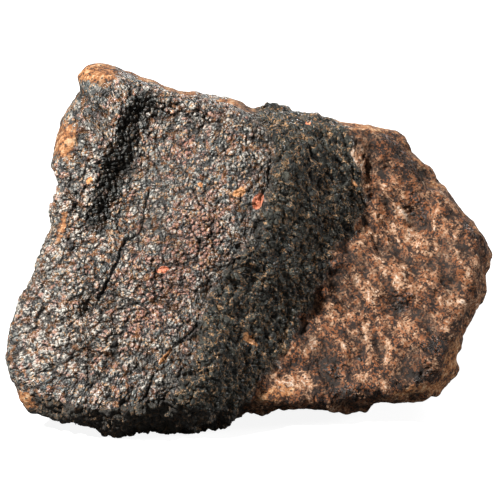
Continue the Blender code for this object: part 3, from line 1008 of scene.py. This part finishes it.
def stand_up(points):
    """Places in the world, in metres, of points in the view, with the foot's plane at height 0."""
    sine, cosine = math.sin(LOOK_DOWN), math.cos(LOOK_DOWN)
    across, up, away = points.T
    x = across + SIDE_SHIFT[0]
    y = up * sine + away * cosine + SIDE_SHIFT[1]
    z = up * cosine - away * sine + FOOT_DEPTH
    return np.stack([x, y, np.maximum(z, 0)], axis=1) * MM


def turn_up(normals):
    """Directions in the world of directions in the view."""
    sine, cosine = math.sin(LOOK_DOWN), math.cos(LOOK_DOWN)
    across, up, away = normals.T
    return np.stack([across, up * sine + away * cosine, up * cosine - away * sine], axis=1)


def finished_surface(directions, quads, triangles, pebble_height, finest, sunk=0.0):
    """The stone's surface in these directions, in mm, and the marks on it as values by name."""
    plain = plain_stone(directions)
    coarse = coarse_relief(plain, outward(plain))
    normals = face_normals(coarse, quads, triangles)
    shares = cover(coarse, normals)
    marks, groove = line_marks(coarse, soft_step(-normals[:, 2], 0.0, 0.3))
    height, crevices, tone = fine_relief(coarse, shares, pebble_height, finest)
    surface = coarse + normals * (height - groove - sunk)[:, None]
    return surface, {**shares, **marks, "relief": height, "crevice": crevices, "tone": tone}


def fill_mesh(mesh, points, quads, triangles, corner_map):
    """Put points, faces and the unwrapped map into an empty mesh, and shade it smooth."""
    corners = np.concatenate([quads.ravel(), triangles.ravel()])
    sizes = np.concatenate([np.full(len(quads), 4), np.full(len(triangles), 3)])
    mesh.vertices.add(len(points))
    mesh.vertices.foreach_set("co", points.astype(np.float32).ravel())
    mesh.loops.add(len(corners))
    mesh.loops.foreach_set("vertex_index", corners.astype(np.int32))
    mesh.polygons.add(len(sizes))
    mesh.polygons.foreach_set("loop_start", (np.cumsum(sizes) - sizes).astype(np.int32))
    layer = mesh.uv_layers.new(name="OFBake")
    layer.uv.foreach_set("vector", corner_map.astype(np.float32).ravel())
    mesh.update(calc_edges=True)
    mesh.shade_smooth()


def add_piece(name, mesh, values, material):
    """An object for a finished mesh, with its values kept by name and its material."""
    for value_name, numbers in values.items():
        attribute = mesh.attributes.new(value_name, "FLOAT", "POINT")
        attribute.data.foreach_set("value", numbers.astype(np.float32))
    mesh.materials.append(material)
    piece = bpy.data.objects.new(name, mesh)
    bpy.context.scene.collection.objects.link(piece)
    return piece


def make_body(settings, material):
    """The whole stone as one closed mesh, sunk under the skins."""
    u, v, side, quads, triangles, corner_map = body_grid()
    inside = SKIN_REACH - SUNK_START - np.maximum(np.abs(u), np.abs(v))
    sunk = SUNK * soft_step(inside, 0, SUNK_WIDTH) * (side < 0)
    directions = square_to_ball(u, v, side)
    surface, values = finished_surface(
        directions, quads, triangles, settings.pebble_height / MM, BODY_FINEST, sunk
    )
    mesh = bpy.data.meshes.new("meteorite_body")
    fill_mesh(mesh, stand_up(surface), quads, triangles, corner_map)
    return add_piece("meteorite_body", mesh, values, material)


def make_skin(name, left, right, settings, material):
    """A fine skin over a strip of the front, worked out one cell wider all round and then trimmed."""
    cells_u, cells_v = SKIN_CELLS
    i = np.arange(-1, cells_v + 2)
    j = np.arange(-1, cells_u + 2)
    row_v = SKIN_REACH * (2 * i / cells_v - 1)
    column_u = left + (right - left) * j / cells_u
    v, u = np.meshgrid(row_v, column_u, indexing="ij")
    wide_quads = square_faces(cells_u + 2, cells_v + 2, 0)
    directions = square_to_ball(u.ravel(), v.ravel(), np.full(u.size, -1.0))
    surface, values = finished_surface(
        directions, wide_quads, (), settings.pebble_height / MM, SKIN_FINEST
    )
    normals = face_normals(surface, wide_quads)
    rows, columns = np.meshgrid(i, j, indexing="ij")
    to_border = np.minimum(rows, cells_v - rows)
    if left == -SKIN_REACH:
        to_border = np.minimum(to_border, columns)
    if right == SKIN_REACH:
        to_border = np.minimum(to_border, cells_u - columns)
    dip = DIP * np.clip(1 - to_border.ravel() / DIP_CELLS, 0, 1) ** 2
    surface = surface - normals * dip[:, None]
    kept = ((rows >= 0) & (rows <= cells_v) & (columns >= 0) & (columns <= cells_u)).ravel()
    quads = square_faces(cells_u, cells_v, 0)
    skin_map = np.stack([columns.ravel() / cells_u, rows.ravel() / cells_v], axis=1)[kept]
    skin_map = CHART_MARGIN + (1 - 2 * CHART_MARGIN) * skin_map
    mesh = bpy.data.meshes.new(name)
    fill_mesh(mesh, stand_up(surface[kept]), quads, np.empty((0, 3), int), skin_map[quads.ravel()])
    mesh.normals_split_custom_set_from_vertices(turn_up(normals[kept]).tolist())
    return add_piece(name, mesh, {key: numbers[kept] for key, numbers in values.items()}, material)


# The material.

class Paint:
    """A node tree that takes nodes in short calls. A value is a number, a colour or a node's output."""

    def __init__(self, tree):
        """Keeps the tree that the nodes go into."""
        self.tree = tree

    def node(self, kind, inputs, **settings):
        """A new node with its settings, and each named or numbered input set or linked."""
        node = self.tree.nodes.new(kind)
        for name, value in settings.items():
            setattr(node, name, value)
        for key, value in inputs.items():
            if isinstance(value, bpy.types.NodeSocket):
                self.tree.links.new(value, node.inputs[key])
            else:
                node.inputs[key].default_value = value
        return node

    def value(self, name):
        """A number kept on the surface."""
        return self.node("ShaderNodeAttribute", {}, attribute_name=name).outputs["Fac"]

    def math(self, operation, a, b):
        """The outcome of a plain operation on two numbers."""
        return self.node("ShaderNodeMath", {0: a, 1: b}, operation=operation).outputs[0]

    def times(self, a, b):
        """The product of two numbers."""
        return self.math("MULTIPLY", a, b)

    def plus(self, value, *terms):
        """The value plus each term, which is a number and the share of it that counts."""
        for term, share in terms:
            value = self.math("ADD", value, self.times(term, share))
        return value

    def mix(self, share, a, b):
        """Colour a where the share is 0 and colour b where it is 1."""
        return self.node("ShaderNodeMix", {0: share, 6: a, 7: b}, data_type="RGBA").outputs[2]

    def over(self, colour, other, share, strength):
        """The colour, with the other laid over it by the share times the strength."""
        return self.mix(self.times(share, strength), colour, other)

    def blend(self, share, a, b):
        """Number a where the share is 0 and number b where it is 1."""
        return self.node("ShaderNodeMix", {0: share, 2: a, 3: b}).outputs[0]

    def step(self, value, low, high):
        """0 where the value is at low and 1 where it is at high, smooth in between. High may be lower."""
        inputs = {"Value": value, "From Min": low, "From Max": high}
        return self.node("ShaderNodeMapRange", inputs, interpolation_type="SMOOTHSTEP").outputs[0]

    def noise(self, place, size, detail=2.0, roughness=0.5):
        """Cloudy noise from 0 to 1 with spots of this size."""
        inputs = {"Vector": place, "Scale": 1 / size, "Detail": detail, "Roughness": roughness}
        return self.node("ShaderNodeTexNoise", inputs).outputs["Fac"]

    def centred(self, value):
        """A value from 0 to 1, moved to lie round 0."""
        return self.math("SUBTRACT", value, 0.5)

    def cells(self, place, size):
        """Cells of this size: the three random numbers of each, and the distance from its middle."""
        node = self.node("ShaderNodeTexVoronoi", {"Vector": place, "Scale": 1 / size})
        numbers = self.node("ShaderNodeSeparateColor", {"Color": node.outputs["Color"]}).outputs
        return (*numbers[:3], node.outputs["Distance"])

    def cell_edges(self, place, size):
        """Distance to the nearest edge between cells of this size, in cells."""
        inputs = {"Vector": place, "Scale": 1 / size}
        return self.node("ShaderNodeTexVoronoi", inputs, feature="DISTANCE_TO_EDGE").outputs["Distance"]

    def ramp(self, value, stops):
        """Colours along a value, from stops of place and colour."""
        node = self.node("ShaderNodeValToRGB", {"Fac": value})
        elements = node.color_ramp.elements
        while len(elements) < len(stops):
            elements.new(0.5)
        for element, (place, colour) in zip(elements, stops):
            element.position = place
            element.color = (*colour[:3], 1.0)
        return node.outputs["Color"]

    def bent(self, place, size, amount):
        """The place moved about by up to this amount, by noise of this size."""
        inputs = {"Vector": place, "Scale": 1 / size, "Detail": 1.0}
        noise = self.node("ShaderNodeTexNoise", inputs).outputs["Color"]
        inputs = {0: noise, 1: (0.5, 0.5, 0.5)}
        centred = self.node("ShaderNodeVectorMath", inputs, operation="SUBTRACT").outputs[0]
        inputs = {0: centred, "Scale": 2 * amount}
        scaled = self.node("ShaderNodeVectorMath", inputs, operation="SCALE").outputs[0]
        return self.node("ShaderNodeVectorMath", {0: place, 1: scaled}, operation="ADD").outputs[0]

    def mapped(self, place, turn, stretch):
        """The place turned and then scaled, so that a pattern on it is turned and stretched."""
        turned_place = self.node("ShaderNodeMapping", {"Vector": place, "Rotation": turn}).outputs[0]
        return self.node("ShaderNodeMapping", {"Vector": turned_place, "Scale": stretch}).outputs[0]

    def streaked(self, place, degrees, stretch):
        """The place for a pattern that is stretched along a line turned in the view."""
        return self.mapped(place, (0, math.radians(degrees), 0), (stretch, 1.0, 1.0))


def crust_paint(paint, place, settings):
    """Rounded grains in slate, grey and brown, with dark crevices and fine rusty veins.

    A grain's shade is the sum of its pebble's tone, a number of its own, cloudy noise and the pale
    patches, which are partly painted highlight, and a ramp makes it a colour. Then come slate and
    reddish clouds, grains of tan, pale specks that are painted glints, dark specks of the darkest grains,
    painted shade in the crevices, partly rusty, and broken veins along the edges of large cells.
    """
    tone = paint.value("tone")
    speck, chance, glint_and_pepper, grain_middle = paint.cells(place, 0.40)
    cloud = paint.centred(paint.noise(place, 2.6, 5.0, 0.66))
    shade = paint.times(tone, 0.58)
    shade = paint.plus(shade, (speck, 0.46), (cloud, 1.35), (paint.value("pale"), 0.28))
    painted = paint.ramp(shade, (
        (0.20, settings.crust_dark),
        (0.35, settings.crust_slate),
        (0.54, settings.crust_grey),
        (0.82, settings.crust_light),
    ))
    cool = paint.step(paint.noise(place, 4.6, 3.0), 0.52, 0.60)
    painted = paint.over(painted, settings.crust_slate, cool, 0.6)
    redness = paint.plus(paint.noise(place, 1.8, 3.0), (tone, 0.35), (paint.value("red"), 0.18))
    painted = paint.over(painted, settings.red_grain, paint.step(redness, 0.68, 0.88), 0.8)
    tan = paint.step(paint.plus(chance, (paint.value("rust"), 0.3)), 0.91, 0.94)
    painted = paint.over(painted, settings.vein_colour, tan, 0.7)
    # Pale specks are painted glints, and dark specks are the darkest grains.
    painted = paint.over(painted, settings.crust_light, paint.step(glint_and_pepper, 0.84, 0.88), 0.6)
    painted = paint.over(painted, settings.crust_dark, paint.step(glint_and_pepper, 0.18, 0.14), 0.8)
    # Painted shade in the crevices between grains, near-black or rusty.
    gap_rust = paint.step(paint.noise(place, 1.4, 3.0), 0.52, 0.60)
    gap_rust_and_shade = paint.mix(gap_rust, GAP_PAINTED_SHADE, settings.gap_rust)
    painted = paint.over(painted, gap_rust_and_shade, paint.step(paint.value("crevice"), 0.40, 0.72), 0.92)
    vein_edge = paint.cell_edges(paint.bent(place, 1.2, 0.7), 2.8)
    broken = paint.step(paint.noise(place, 1.3, 2.0), 0.53, 0.60)
    vein = paint.times(paint.step(vein_edge, 0.040, 0.015), broken)
    painted = paint.over(painted, settings.vein_colour, vein, 0.6)
    height = paint.times(paint.math("POWER", grain_middle, 2.0), -0.22)
    height = paint.plus(height, (paint.noise(place, 0.35, 2.0), 0.18))
    gloss = paint.step(paint.noise(place, 1.4, 4.0, 0.7), 0.46, 0.58)
    roughness = paint.blend(gloss, settings.crust_roughness + 0.25, settings.crust_roughness - 0.10)
    return painted, roughness, height


def band_paint(paint, place, settings):
    """Olive black with streaks down the diagonal, a net of fine tan veins and rusty specks.

    The colour is a ramp over streaks, a cloud and the grains' own numbers. The veins are the edges of
    cells of two sizes on a bent place, broken up by noise.
    """
    streaks = paint.noise(paint.streaked(place, BAND_TURN, 0.45), 0.9, 4.0, 0.65)
    own, chance, _, speck_middle = paint.cells(place, 0.42)
    tone = paint.plus(paint.blend(0.35, streaks, paint.noise(place, 4.5, 3.0)), (own, 0.09))
    between = [0.6 * dark + 0.4 * light for dark, light in zip(settings.band_dark, settings.band_light)]
    painted = paint.ramp(tone, (
        (0.47, settings.band_dark),
        (0.59, between),
        (0.71, settings.band_light),
    ))
    broken = paint.noise(place, 1.3, 4.0, 0.7)
    wide_net = paint.step(paint.cell_edges(paint.bent(place, 0.9, 0.9), 3.2), 0.030, 0.010)
    wide_net = paint.times(wide_net, paint.step(broken, 0.47, 0.53))
    fine_net = paint.step(paint.cell_edges(paint.bent(place, 0.5, 0.4), 1.3), 0.060, 0.015)
    fine_net = paint.times(fine_net, paint.step(broken, 0.50, 0.56))
    net = paint.math("MAXIMUM", wide_net, fine_net)
    painted = paint.over(painted, settings.vein_colour, net, 0.70)
    speck = paint.times(paint.step(chance, 0.88, 0.92), paint.step(speck_middle, 0.45, 0.20))
    painted = paint.over(painted, settings.rust_dark, speck, 0.75)
    height = paint.plus(paint.times(streaks, 0.80), (paint.noise(place, 0.45, 3.0, 0.6), 0.34))
    gloss = paint.step(paint.noise(place, 1.2, 3.0, 0.6), 0.47, 0.55)
    roughness = paint.blend(gloss, settings.band_roughness + 0.48, settings.band_roughness - 0.16)
    return painted, roughness, height


def brown_paint(paint, place, settings):
    """Brown stone in mottles down a diagonal, with tan flesh, black specks and grey polish.

    The mottle is a streaked noise with grit, finer noise, the relief and the pale and dark patches
    added, and a ramp makes it a colour. The relief paints shade in the low places and light on the high
    ones, and the patches are partly painted highlight and painted shade. Polish lies where a cloud and
    the dark patches add up high.
    """
    streaked = paint.streaked(place, BROWN_TURN, 0.55)
    dark = paint.value("dark")
    grit, grit_chance, _, _ = paint.cells(place, 0.34)
    fine = paint.noise(place, 1.1, 2.0)
    mottle = paint.times(paint.noise(paint.bent(streaked, 2.5, 0.5), 1.8, 4.0, 0.66), 0.85)
    mottle = paint.plus(
        paint.math("ADD", mottle, 0.058),
        (paint.centred(grit), 0.19),
        (paint.centred(fine), 0.28),
        (paint.value("pale"), 0.12),
        (dark, -0.12),
        # The relief paints shade where it is low and light where it is high.
        (paint.value("relief"), 0.05),
    )
    painted = paint.ramp(mottle, (
        (0.38, [0.25 * part for part in settings.brown_dark]),
        (0.48, settings.brown_dark),
        (0.54, settings.brown_middle),
        (0.64, settings.brown_light),
        (0.76, settings.brown_pale),
    ))
    polish = paint.step(paint.plus(paint.noise(place, 3.2, 3.0), (dark, 0.30)), 0.66, 0.84)
    painted = paint.over(painted, POLISH_BLACK, polish, 0.55)
    _, spot_chance, _, spot_middle = paint.cells(place, 0.62)
    spot = paint.times(paint.step(spot_chance, 0.74, 0.78), paint.step(spot_middle, 0.42, 0.26))
    painted = paint.over(painted, SPOT_BLACK, spot, 0.85)
    ember = paint.step(paint.noise(place, 1.6, 3.0, 0.6), 0.42, 0.56)
    ember = paint.times(ember, paint.step(grit_chance, 0.55, 0.65))
    painted = paint.over(painted, settings.ember, ember, 0.65)
    scaly = paint.times(polish, paint.noise(streaked, 0.55, 2.0))
    height = paint.plus(paint.times(fine, 0.24), (spot, -0.12), (grit, 0.04), (scaly, 0.7))
    roughness = paint.blend(polish, settings.brown_roughness, settings.brown_roughness - 0.38)
    return painted, roughness, height


def rust_paint(paint, place, settings):
    """Orange-brown rust with tan bloom, a ramp over cloud and grit, and black grains in it."""
    grit = paint.cells(place, 0.38)[0]
    cloud = paint.plus(paint.noise(place, 1.4, 4.0, 0.65), (grit, 0.16))
    painted = paint.ramp(cloud, (
        (0.46, RUST_BLACK),
        (0.54, settings.rust_dark),
        (0.63, settings.rust_light),
        (0.76, settings.rust_bloom),
    ))
    _, _, chance, grain_middle = paint.cells(place, 0.7)
    grain = paint.times(paint.step(chance, 0.76, 0.80), paint.step(grain_middle, 0.46, 0.30))
    painted = paint.over(painted, GRAIN_BLACK, grain, 0.85)
    height = paint.plus(paint.times(paint.noise(place, 0.7, 3.0, 0.6), 0.36), (grit, 0.05))
    return painted, RUST_ROUGHNESS, height


def stone_material(settings):
    """The stone's finish: crust, band, brown face and rust laid over each other by their shares.

    The painted shadow in the bank, the veins, the chips, the cracks and the painted shade in the hollows
    come over them.
    """
    name = "weathered_fusion_crust"
    if name in bpy.data.materials:
        return bpy.data.materials[name]
    material = bpy.data.materials.new(name)
    material.use_nodes = True
    tree = material.node_tree
    tree.nodes.clear()
    paint = Paint(tree)
    metres = paint.node("ShaderNodeTexCoord", {}).outputs["Object"]
    place = paint.mapped(metres, (LOOK_DOWN, 0, 0), (1 / MM, 1 / MM, 1 / MM))
    ragged = paint.centred(paint.noise(place, 0.9, 3.0, 0.6))

    def share(value_name, low, high, raggedness):
        """How much of a cover or a mark there is, with a ragged edge."""
        return paint.step(paint.plus(paint.value(value_name), (ragged, raggedness)), low, high)

    colour, roughness, height = crust_paint(paint, place, settings)
    band_colour, band_roughness, band_height = band_paint(paint, place, settings)
    # The underside is the band's colour, half covered by painted shade.
    under_band_in_shade = paint.mix(0.5, band_colour, UNDER_PAINTED_SHADE)
    layers = (
        (share("band", 0.32, 0.68, 1.3), (band_colour, band_roughness, band_height)),
        (share("brown", 0.30, 0.70, 1.3), brown_paint(paint, place, settings)),
        (share("under", 0.38, 0.62, 0.9), (under_band_in_shade, UNDER_ROUGHNESS, band_height)),
        (share("rust", 0.35, 0.70, 1.8), rust_paint(paint, place, settings)),
    )
    for amount, (layer_colour, layer_roughness, layer_height) in layers:
        colour = paint.mix(amount, colour, layer_colour)
        roughness = paint.blend(amount, roughness, layer_roughness)
        height = paint.blend(amount, height, layer_height)
    # Painted shadow over the bank's wall.
    colour = paint.over(colour, BANK_PAINTED_SHADOW, share("bank", 0.30, 0.70, 1.2), 0.84)

    vein = paint.step(paint.plus(paint.value("vein"), (ragged, 0.5)), 0.08, -0.06)
    vein = paint.times(vein, paint.step(paint.noise(place, 0.8, 2.0), 0.36, 0.56))
    colour = paint.over(colour, settings.vein_colour, vein, 0.8)
    for value_name in ("orange_chip", "red_chip"):
        colour = paint.mix(share(value_name, 1.2, 0.7, 0.5), colour, getattr(settings, value_name))
    colour = paint.mix(paint.step(paint.value("crack"), 0.10, -0.05), colour, CRACK_BLACK)
    # Painted shade where the small relief is low.
    colour = paint.over(colour, HOLLOW_PAINTED_SHADE, paint.step(paint.value("relief"), 0.05, -0.45), 0.5)

    bump = paint.node("ShaderNodeBump", {"Height": height, "Distance": MM, "Strength": 1.0})
    shader = paint.node("ShaderNodeBsdfPrincipled", {
        "Base Color": colour,
        "Roughness": roughness,
        "Metallic": 0.0,
        "Specular IOR Level": settings.shine,
        "Normal": bump.outputs[0],
    })
    output = paint.node("ShaderNodeOutputMaterial", {"Surface": shader.outputs[0]})
    output.is_active_output = True
    return material


# The stage.

def make_floor(settings):
    """A flat square under the stone.

    It looks pale and a little lit from below, as a light table does. To the stone it is a darker floor,
    so that it throws less light back up than a bare white one would.
    """
    half = settings.floor_size / 2
    corners = ((-half, -half, 0), (half, -half, 0), (half, half, 0), (-half, half, 0))
    mesh = bpy.data.meshes.new("floor")
    mesh.from_pydata(corners, [], [(0, 1, 2, 3)])
    material = bpy.data.materials.new("pale_floor")
    material.use_nodes = True
    tree = material.node_tree
    tree.nodes.clear()
    paint = Paint(tree)
    pale = paint.node("ShaderNodeBsdfPrincipled", {
        "Base Color": settings.floor_colour,
        "Roughness": 0.9,
        "Specular IOR Level": 0.1,
        "Emission Color": (1.0, 1.0, 1.0, 1.0),
        "Emission Strength": settings.floor_glow,
    })
    shaded = paint.node("ShaderNodeBsdfDiffuse", {"Color": settings.floor_shade})
    seen = paint.node("ShaderNodeLightPath", {}).outputs["Is Camera Ray"]
    surface = paint.node("ShaderNodeMixShader", {0: seen, 1: shaded.outputs[0], 2: pale.outputs[0]})
    paint.node("ShaderNodeOutputMaterial", {"Surface": surface.outputs[0]})
    mesh.materials.append(material)
    floor = bpy.data.objects.new("floor", mesh)
    bpy.context.scene.collection.objects.link(floor)
    return floor


def add_light(name, place, aim, size, power):
    """A square soft light at a place, turned to the aim."""
    lamp = bpy.data.lights.new(name, "AREA")
    lamp.shape = "SQUARE"
    lamp.size = size
    lamp.energy = power
    light = bpy.data.objects.new(name, lamp)
    light.location = place
    light.rotation_euler = (Vector(aim) - Vector(place)).to_track_quat("-Z", "Y").to_euler()
    bpy.context.scene.collection.objects.link(light)
    return light


def direction(azimuth, elevation):
    """Unit vector from the stone towards an azimuth, clockwise from the front seen from above."""
    a, e = math.radians(azimuth), math.radians(elevation)
    return Vector((math.sin(a) * math.cos(e), -math.cos(a) * math.cos(e), math.sin(e)))


def make_camera(settings, aim):
    """A camera at the photograph's angle: it looks along +Y and down, with a long lens."""
    lens = bpy.data.cameras.new("camera")
    lens.sensor_width = SENSOR_WIDTH
    lens.lens = SENSOR_WIDTH * settings.camera_distance / settings.view_width
    lens.clip_end = SEEN_DISTANCE
    camera = bpy.data.objects.new("camera", lens)
    camera.location = aim + direction(0, math.degrees(LOOK_DOWN)) * settings.camera_distance
    camera.rotation_euler = (math.pi / 2 - LOOK_DOWN, 0, 0)
    bpy.context.scene.collection.objects.link(camera)
    bpy.context.scene.camera = camera
    return camera


def set_surroundings(settings):
    """Even light from all round."""
    world = bpy.data.worlds.new("surroundings")
    world.use_nodes = True
    background = world.node_tree.nodes["Background"]
    background.inputs["Color"].default_value = (1.0, 1.0, 1.0, 1.0)
    background.inputs["Strength"].default_value = settings.fill_strength
    bpy.context.scene.world = world


# What a user can change.

def colour_property(name, description, default):
    """A colour that a user can change, from its red, green and blue."""
    return FloatVectorProperty(
        name=name, description=description, default=(*default, 1.0),
        size=4, min=0.0, max=1.0, subtype="COLOR",
    )


class StoneSettings(bpy.types.PropertyGroup):
    """Sizes and colours of the stone."""

    pebble_height: FloatProperty(
        name="Pebble Height", description="How far the crust's pebbles stand out",
        default=0.00034, min=0.0, max=0.002, precision=5, unit="LENGTH", subtype="DISTANCE",
    )
    shine: FloatProperty(
        name="Shine", description="How strongly the surface mirrors light",
        default=0.38, min=0.0, max=1.0, subtype="FACTOR",
    )
    crust_roughness: FloatProperty(
        name="Crust Roughness", description="Middle roughness of the pebbly crust",
        default=0.30, min=0.2, max=0.8, subtype="FACTOR",
    )
    band_roughness: FloatProperty(
        name="Band Roughness", description="Middle roughness of the dark band",
        default=0.36, min=0.2, max=0.8, subtype="FACTOR",
    )
    brown_roughness: FloatProperty(
        name="Brown Roughness", description="Roughness of the brown face away from its polished spots",
        default=0.88, min=0.4, max=1.0, subtype="FACTOR",
    )
    crust_dark: colour_property("Crust Dark", "The crust's darkest grains", (0.018, 0.020, 0.018))
    crust_slate: colour_property("Crust Slate", "The crust's slate grains", (0.066, 0.076, 0.072))
    crust_grey: colour_property("Crust Grey", "The crust's warm grey grains", (0.162, 0.144, 0.122))
    crust_light: colour_property("Crust Light", "The crust's palest grains", (0.400, 0.370, 0.320))
    red_grain: colour_property("Red Grain", "The crust's reddish grains", (0.240, 0.098, 0.064))
    gap_rust: colour_property("Gap Rust", "Rust between the crust's grains", (0.150, 0.066, 0.028))
    vein_colour: colour_property("Vein", "Tan veins and tan grains", (0.400, 0.225, 0.105))
    band_dark: colour_property("Band Dark", "The dark band's deepest colour", (0.0055, 0.006, 0.005))
    band_light: colour_property("Band Light", "The dark band's palest colour", (0.072, 0.070, 0.053))
    brown_dark: colour_property("Brown Dark", "The brown face's dark mottles", (0.034, 0.014, 0.006))
    brown_middle: colour_property("Brown Middle", "The brown face's middle colour", (0.150, 0.068, 0.032))
    brown_light: colour_property("Brown Light", "The brown face's tan mottles", (0.310, 0.185, 0.108))
    brown_pale: colour_property("Brown Pale", "The brown face's palest flesh", (0.460, 0.355, 0.275))
    ember: colour_property("Ember", "Red-brown glow in the brown face", (0.210, 0.068, 0.020))
    rust_dark: colour_property("Rust Dark", "Deep orange rust", (0.200, 0.072, 0.022))
    rust_light: colour_property("Rust Light", "Light orange-brown rust", (0.290, 0.128, 0.046))
    rust_bloom: colour_property("Rust Bloom", "The tan bloom on the rust", (0.440, 0.285, 0.165))
    red_chip: colour_property("Red Chip", "Salmon red mineral chips", (0.820, 0.260, 0.130))
    orange_chip: colour_property("Orange Chip", "Orange mineral chips", (0.520, 0.240, 0.095))


class StageSettings(bpy.types.PropertyGroup):
    """Sizes and lights of the stage."""

    floor_size: FloatProperty(
        name="Floor Size", description="Width of the floor",
        default=3.0, min=0.5, max=10.0, unit="LENGTH", subtype="DISTANCE",
    )
    floor_colour: colour_property("Floor Colour", "The floor's pale colour", (0.30, 0.30, 0.30))
    floor_shade: colour_property(
        "Floor Shade", "The floor's colour as the stone sees it", (0.10, 0.10, 0.10)
    )
    floor_glow: FloatProperty(
        name="Floor Glow", description="How much the floor is lit from below, as a light table is",
        default=0.9, min=0.0, max=2.0,
    )
    light_distance: FloatProperty(
        name="Light Distance", description="Distance of the lights from the stone",
        default=0.9, min=0.3, max=5.0, unit="LENGTH", subtype="DISTANCE",
    )
    key_power: FloatProperty(
        name="Key Power", description="Power of the main light, in watts",
        default=26.0, min=0.0, max=500.0, unit="POWER",
    )
    key_size: FloatProperty(
        name="Key Size", description="Width of the main light",
        default=0.06, min=0.02, max=2.0, unit="LENGTH", subtype="DISTANCE",
    )
    side_power: FloatProperty(
        name="Side Power", description="Power of the weaker light at the right, in watts",
        default=5.5, min=0.0, max=500.0, unit="POWER",
    )
    side_size: FloatProperty(
        name="Side Size", description="Width of the weaker light at the right",
        default=0.09, min=0.02, max=2.0, unit="LENGTH", subtype="DISTANCE",
    )
    back_power: FloatProperty(
        name="Back Power", description="Power of the light behind the stone, in watts",
        default=4.5, min=0.0, max=500.0, unit="POWER",
    )
    back_size: FloatProperty(
        name="Back Size", description="Width of the light behind the stone",
        default=0.30, min=0.02, max=2.0, unit="LENGTH", subtype="DISTANCE",
    )
    fill_strength: FloatProperty(
        name="Fill Strength", description="Strength of the even light from all round",
        default=0.12, min=0.0, max=3.0,
    )
    camera_distance: FloatProperty(
        name="Camera Distance", description="Distance of the camera from the stone",
        default=2.2, min=0.3, max=10.0, unit="LENGTH", subtype="DISTANCE",
    )
    view_width: FloatProperty(
        name="View Width", description="What the camera's view takes in at the stone's middle",
        default=0.1, min=0.02, max=1.0, unit="LENGTH", subtype="DISTANCE",
    )


class METEORITE_OT_body(bpy.types.Operator):
    """Build the whole stone's closed body, with its sides and back"""

    bl_idname = "meteorite.body"
    bl_label = "Build Body"
    bl_options = {"REGISTER", "UNDO"}

    def execute(self, context):
        """Makes the body, which stands for the solid."""
        settings = context.scene.meteorite_stone
        body = make_body(settings, stone_material(settings))
        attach(body, "root")
        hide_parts("meteorite")
        return {"FINISHED"}


class METEORITE_OT_skins(bpy.types.Operator):
    """Build the four fine skins of the front, with its pebbles, ripples, mottles and cracks"""

    bl_idname = "meteorite.skins"
    bl_label = "Build Front Skins"
    bl_options = {"REGISTER", "UNDO"}

    def execute(self, context):
        """Makes the skins from left to right."""
        settings = context.scene.meteorite_stone
        for name, left, right in SKINS:
            skin = make_skin(name, left, right, settings, stone_material(settings))
            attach(skin, "root")
        return {"FINISHED"}


class METEORITE_OT_stage(bpy.types.Operator):
    """Build the floor, the lights and the camera"""

    bl_idname = "meteorite.stage"
    bl_label = "Build Stage"
    bl_options = {"REGISTER", "UNDO"}

    def execute(self, context):
        """Makes the stage round the stone's middle, and has the view show colours as they are."""
        settings = context.scene.meteorite_stage
        make_floor(settings)
        aim = Vector((*SIDE_SHIFT, FOOT_DEPTH)) * MM
        lights = (
            ("key_light", KEY_DIRECTION, settings.key_size, settings.key_power),
            ("side_light", SIDE_DIRECTION, settings.side_size, settings.side_power),
            ("back_light", BACK_DIRECTION, settings.back_size, settings.back_power),
        )
        for name, towards, size, power in lights:
            place = aim + direction(*towards) * settings.light_distance
            add_light(name, place, aim, size, power)
        set_surroundings(settings)
        make_camera(settings, aim)
        context.scene.view_settings.view_transform = "Standard"
        return {"FINISHED"}


class METEORITE_PT_panel(bpy.types.Panel):
    """Settings and buttons for the meteorite"""

    bl_label = "Meteorite"
    bl_idname = "METEORITE_PT_panel"
    bl_space_type = "VIEW_3D"
    bl_region_type = "UI"
    bl_category = "Meteorite"

    def draw(self, context):
        """Lists the stone's and the stage's settings, each with their buttons below."""
        groups = (
            (context.scene.meteorite_stone, (METEORITE_OT_body, METEORITE_OT_skins)),
            (context.scene.meteorite_stage, (METEORITE_OT_stage,)),
        )
        for settings, operators in groups:
            box = self.layout.box()
            for name in settings.bl_rna.properties.keys():
                if name not in ("rna_type", "name"):
                    box.prop(settings, name)
            for operator in operators:
                box.operator(operator.bl_idname)


CLASSES = (
    StoneSettings,
    StageSettings,
    METEORITE_OT_body,
    METEORITE_OT_skins,
    METEORITE_OT_stage,
    METEORITE_PT_panel,
)


def register():
    """Makes the classes and the scene's settings known."""
    for cls in CLASSES:
        bpy.utils.register_class(cls)
    bpy.types.Scene.meteorite_stone = PointerProperty(type=StoneSettings)
    bpy.types.Scene.meteorite_stage = PointerProperty(type=StageSettings)


def unregister():
    """Takes the scene's settings and the classes away again."""
    del bpy.types.Scene.meteorite_stage
    del bpy.types.Scene.meteorite_stone
    for cls in reversed(CLASSES):
        bpy.utils.unregister_class(cls)


def main():
    """Builds the stone and its stage."""
    register()
    bpy.ops.meteorite.body()
    bpy.ops.meteorite.skins()
    bpy.ops.meteorite.stage()


if __name__ == "__main__":
    main()
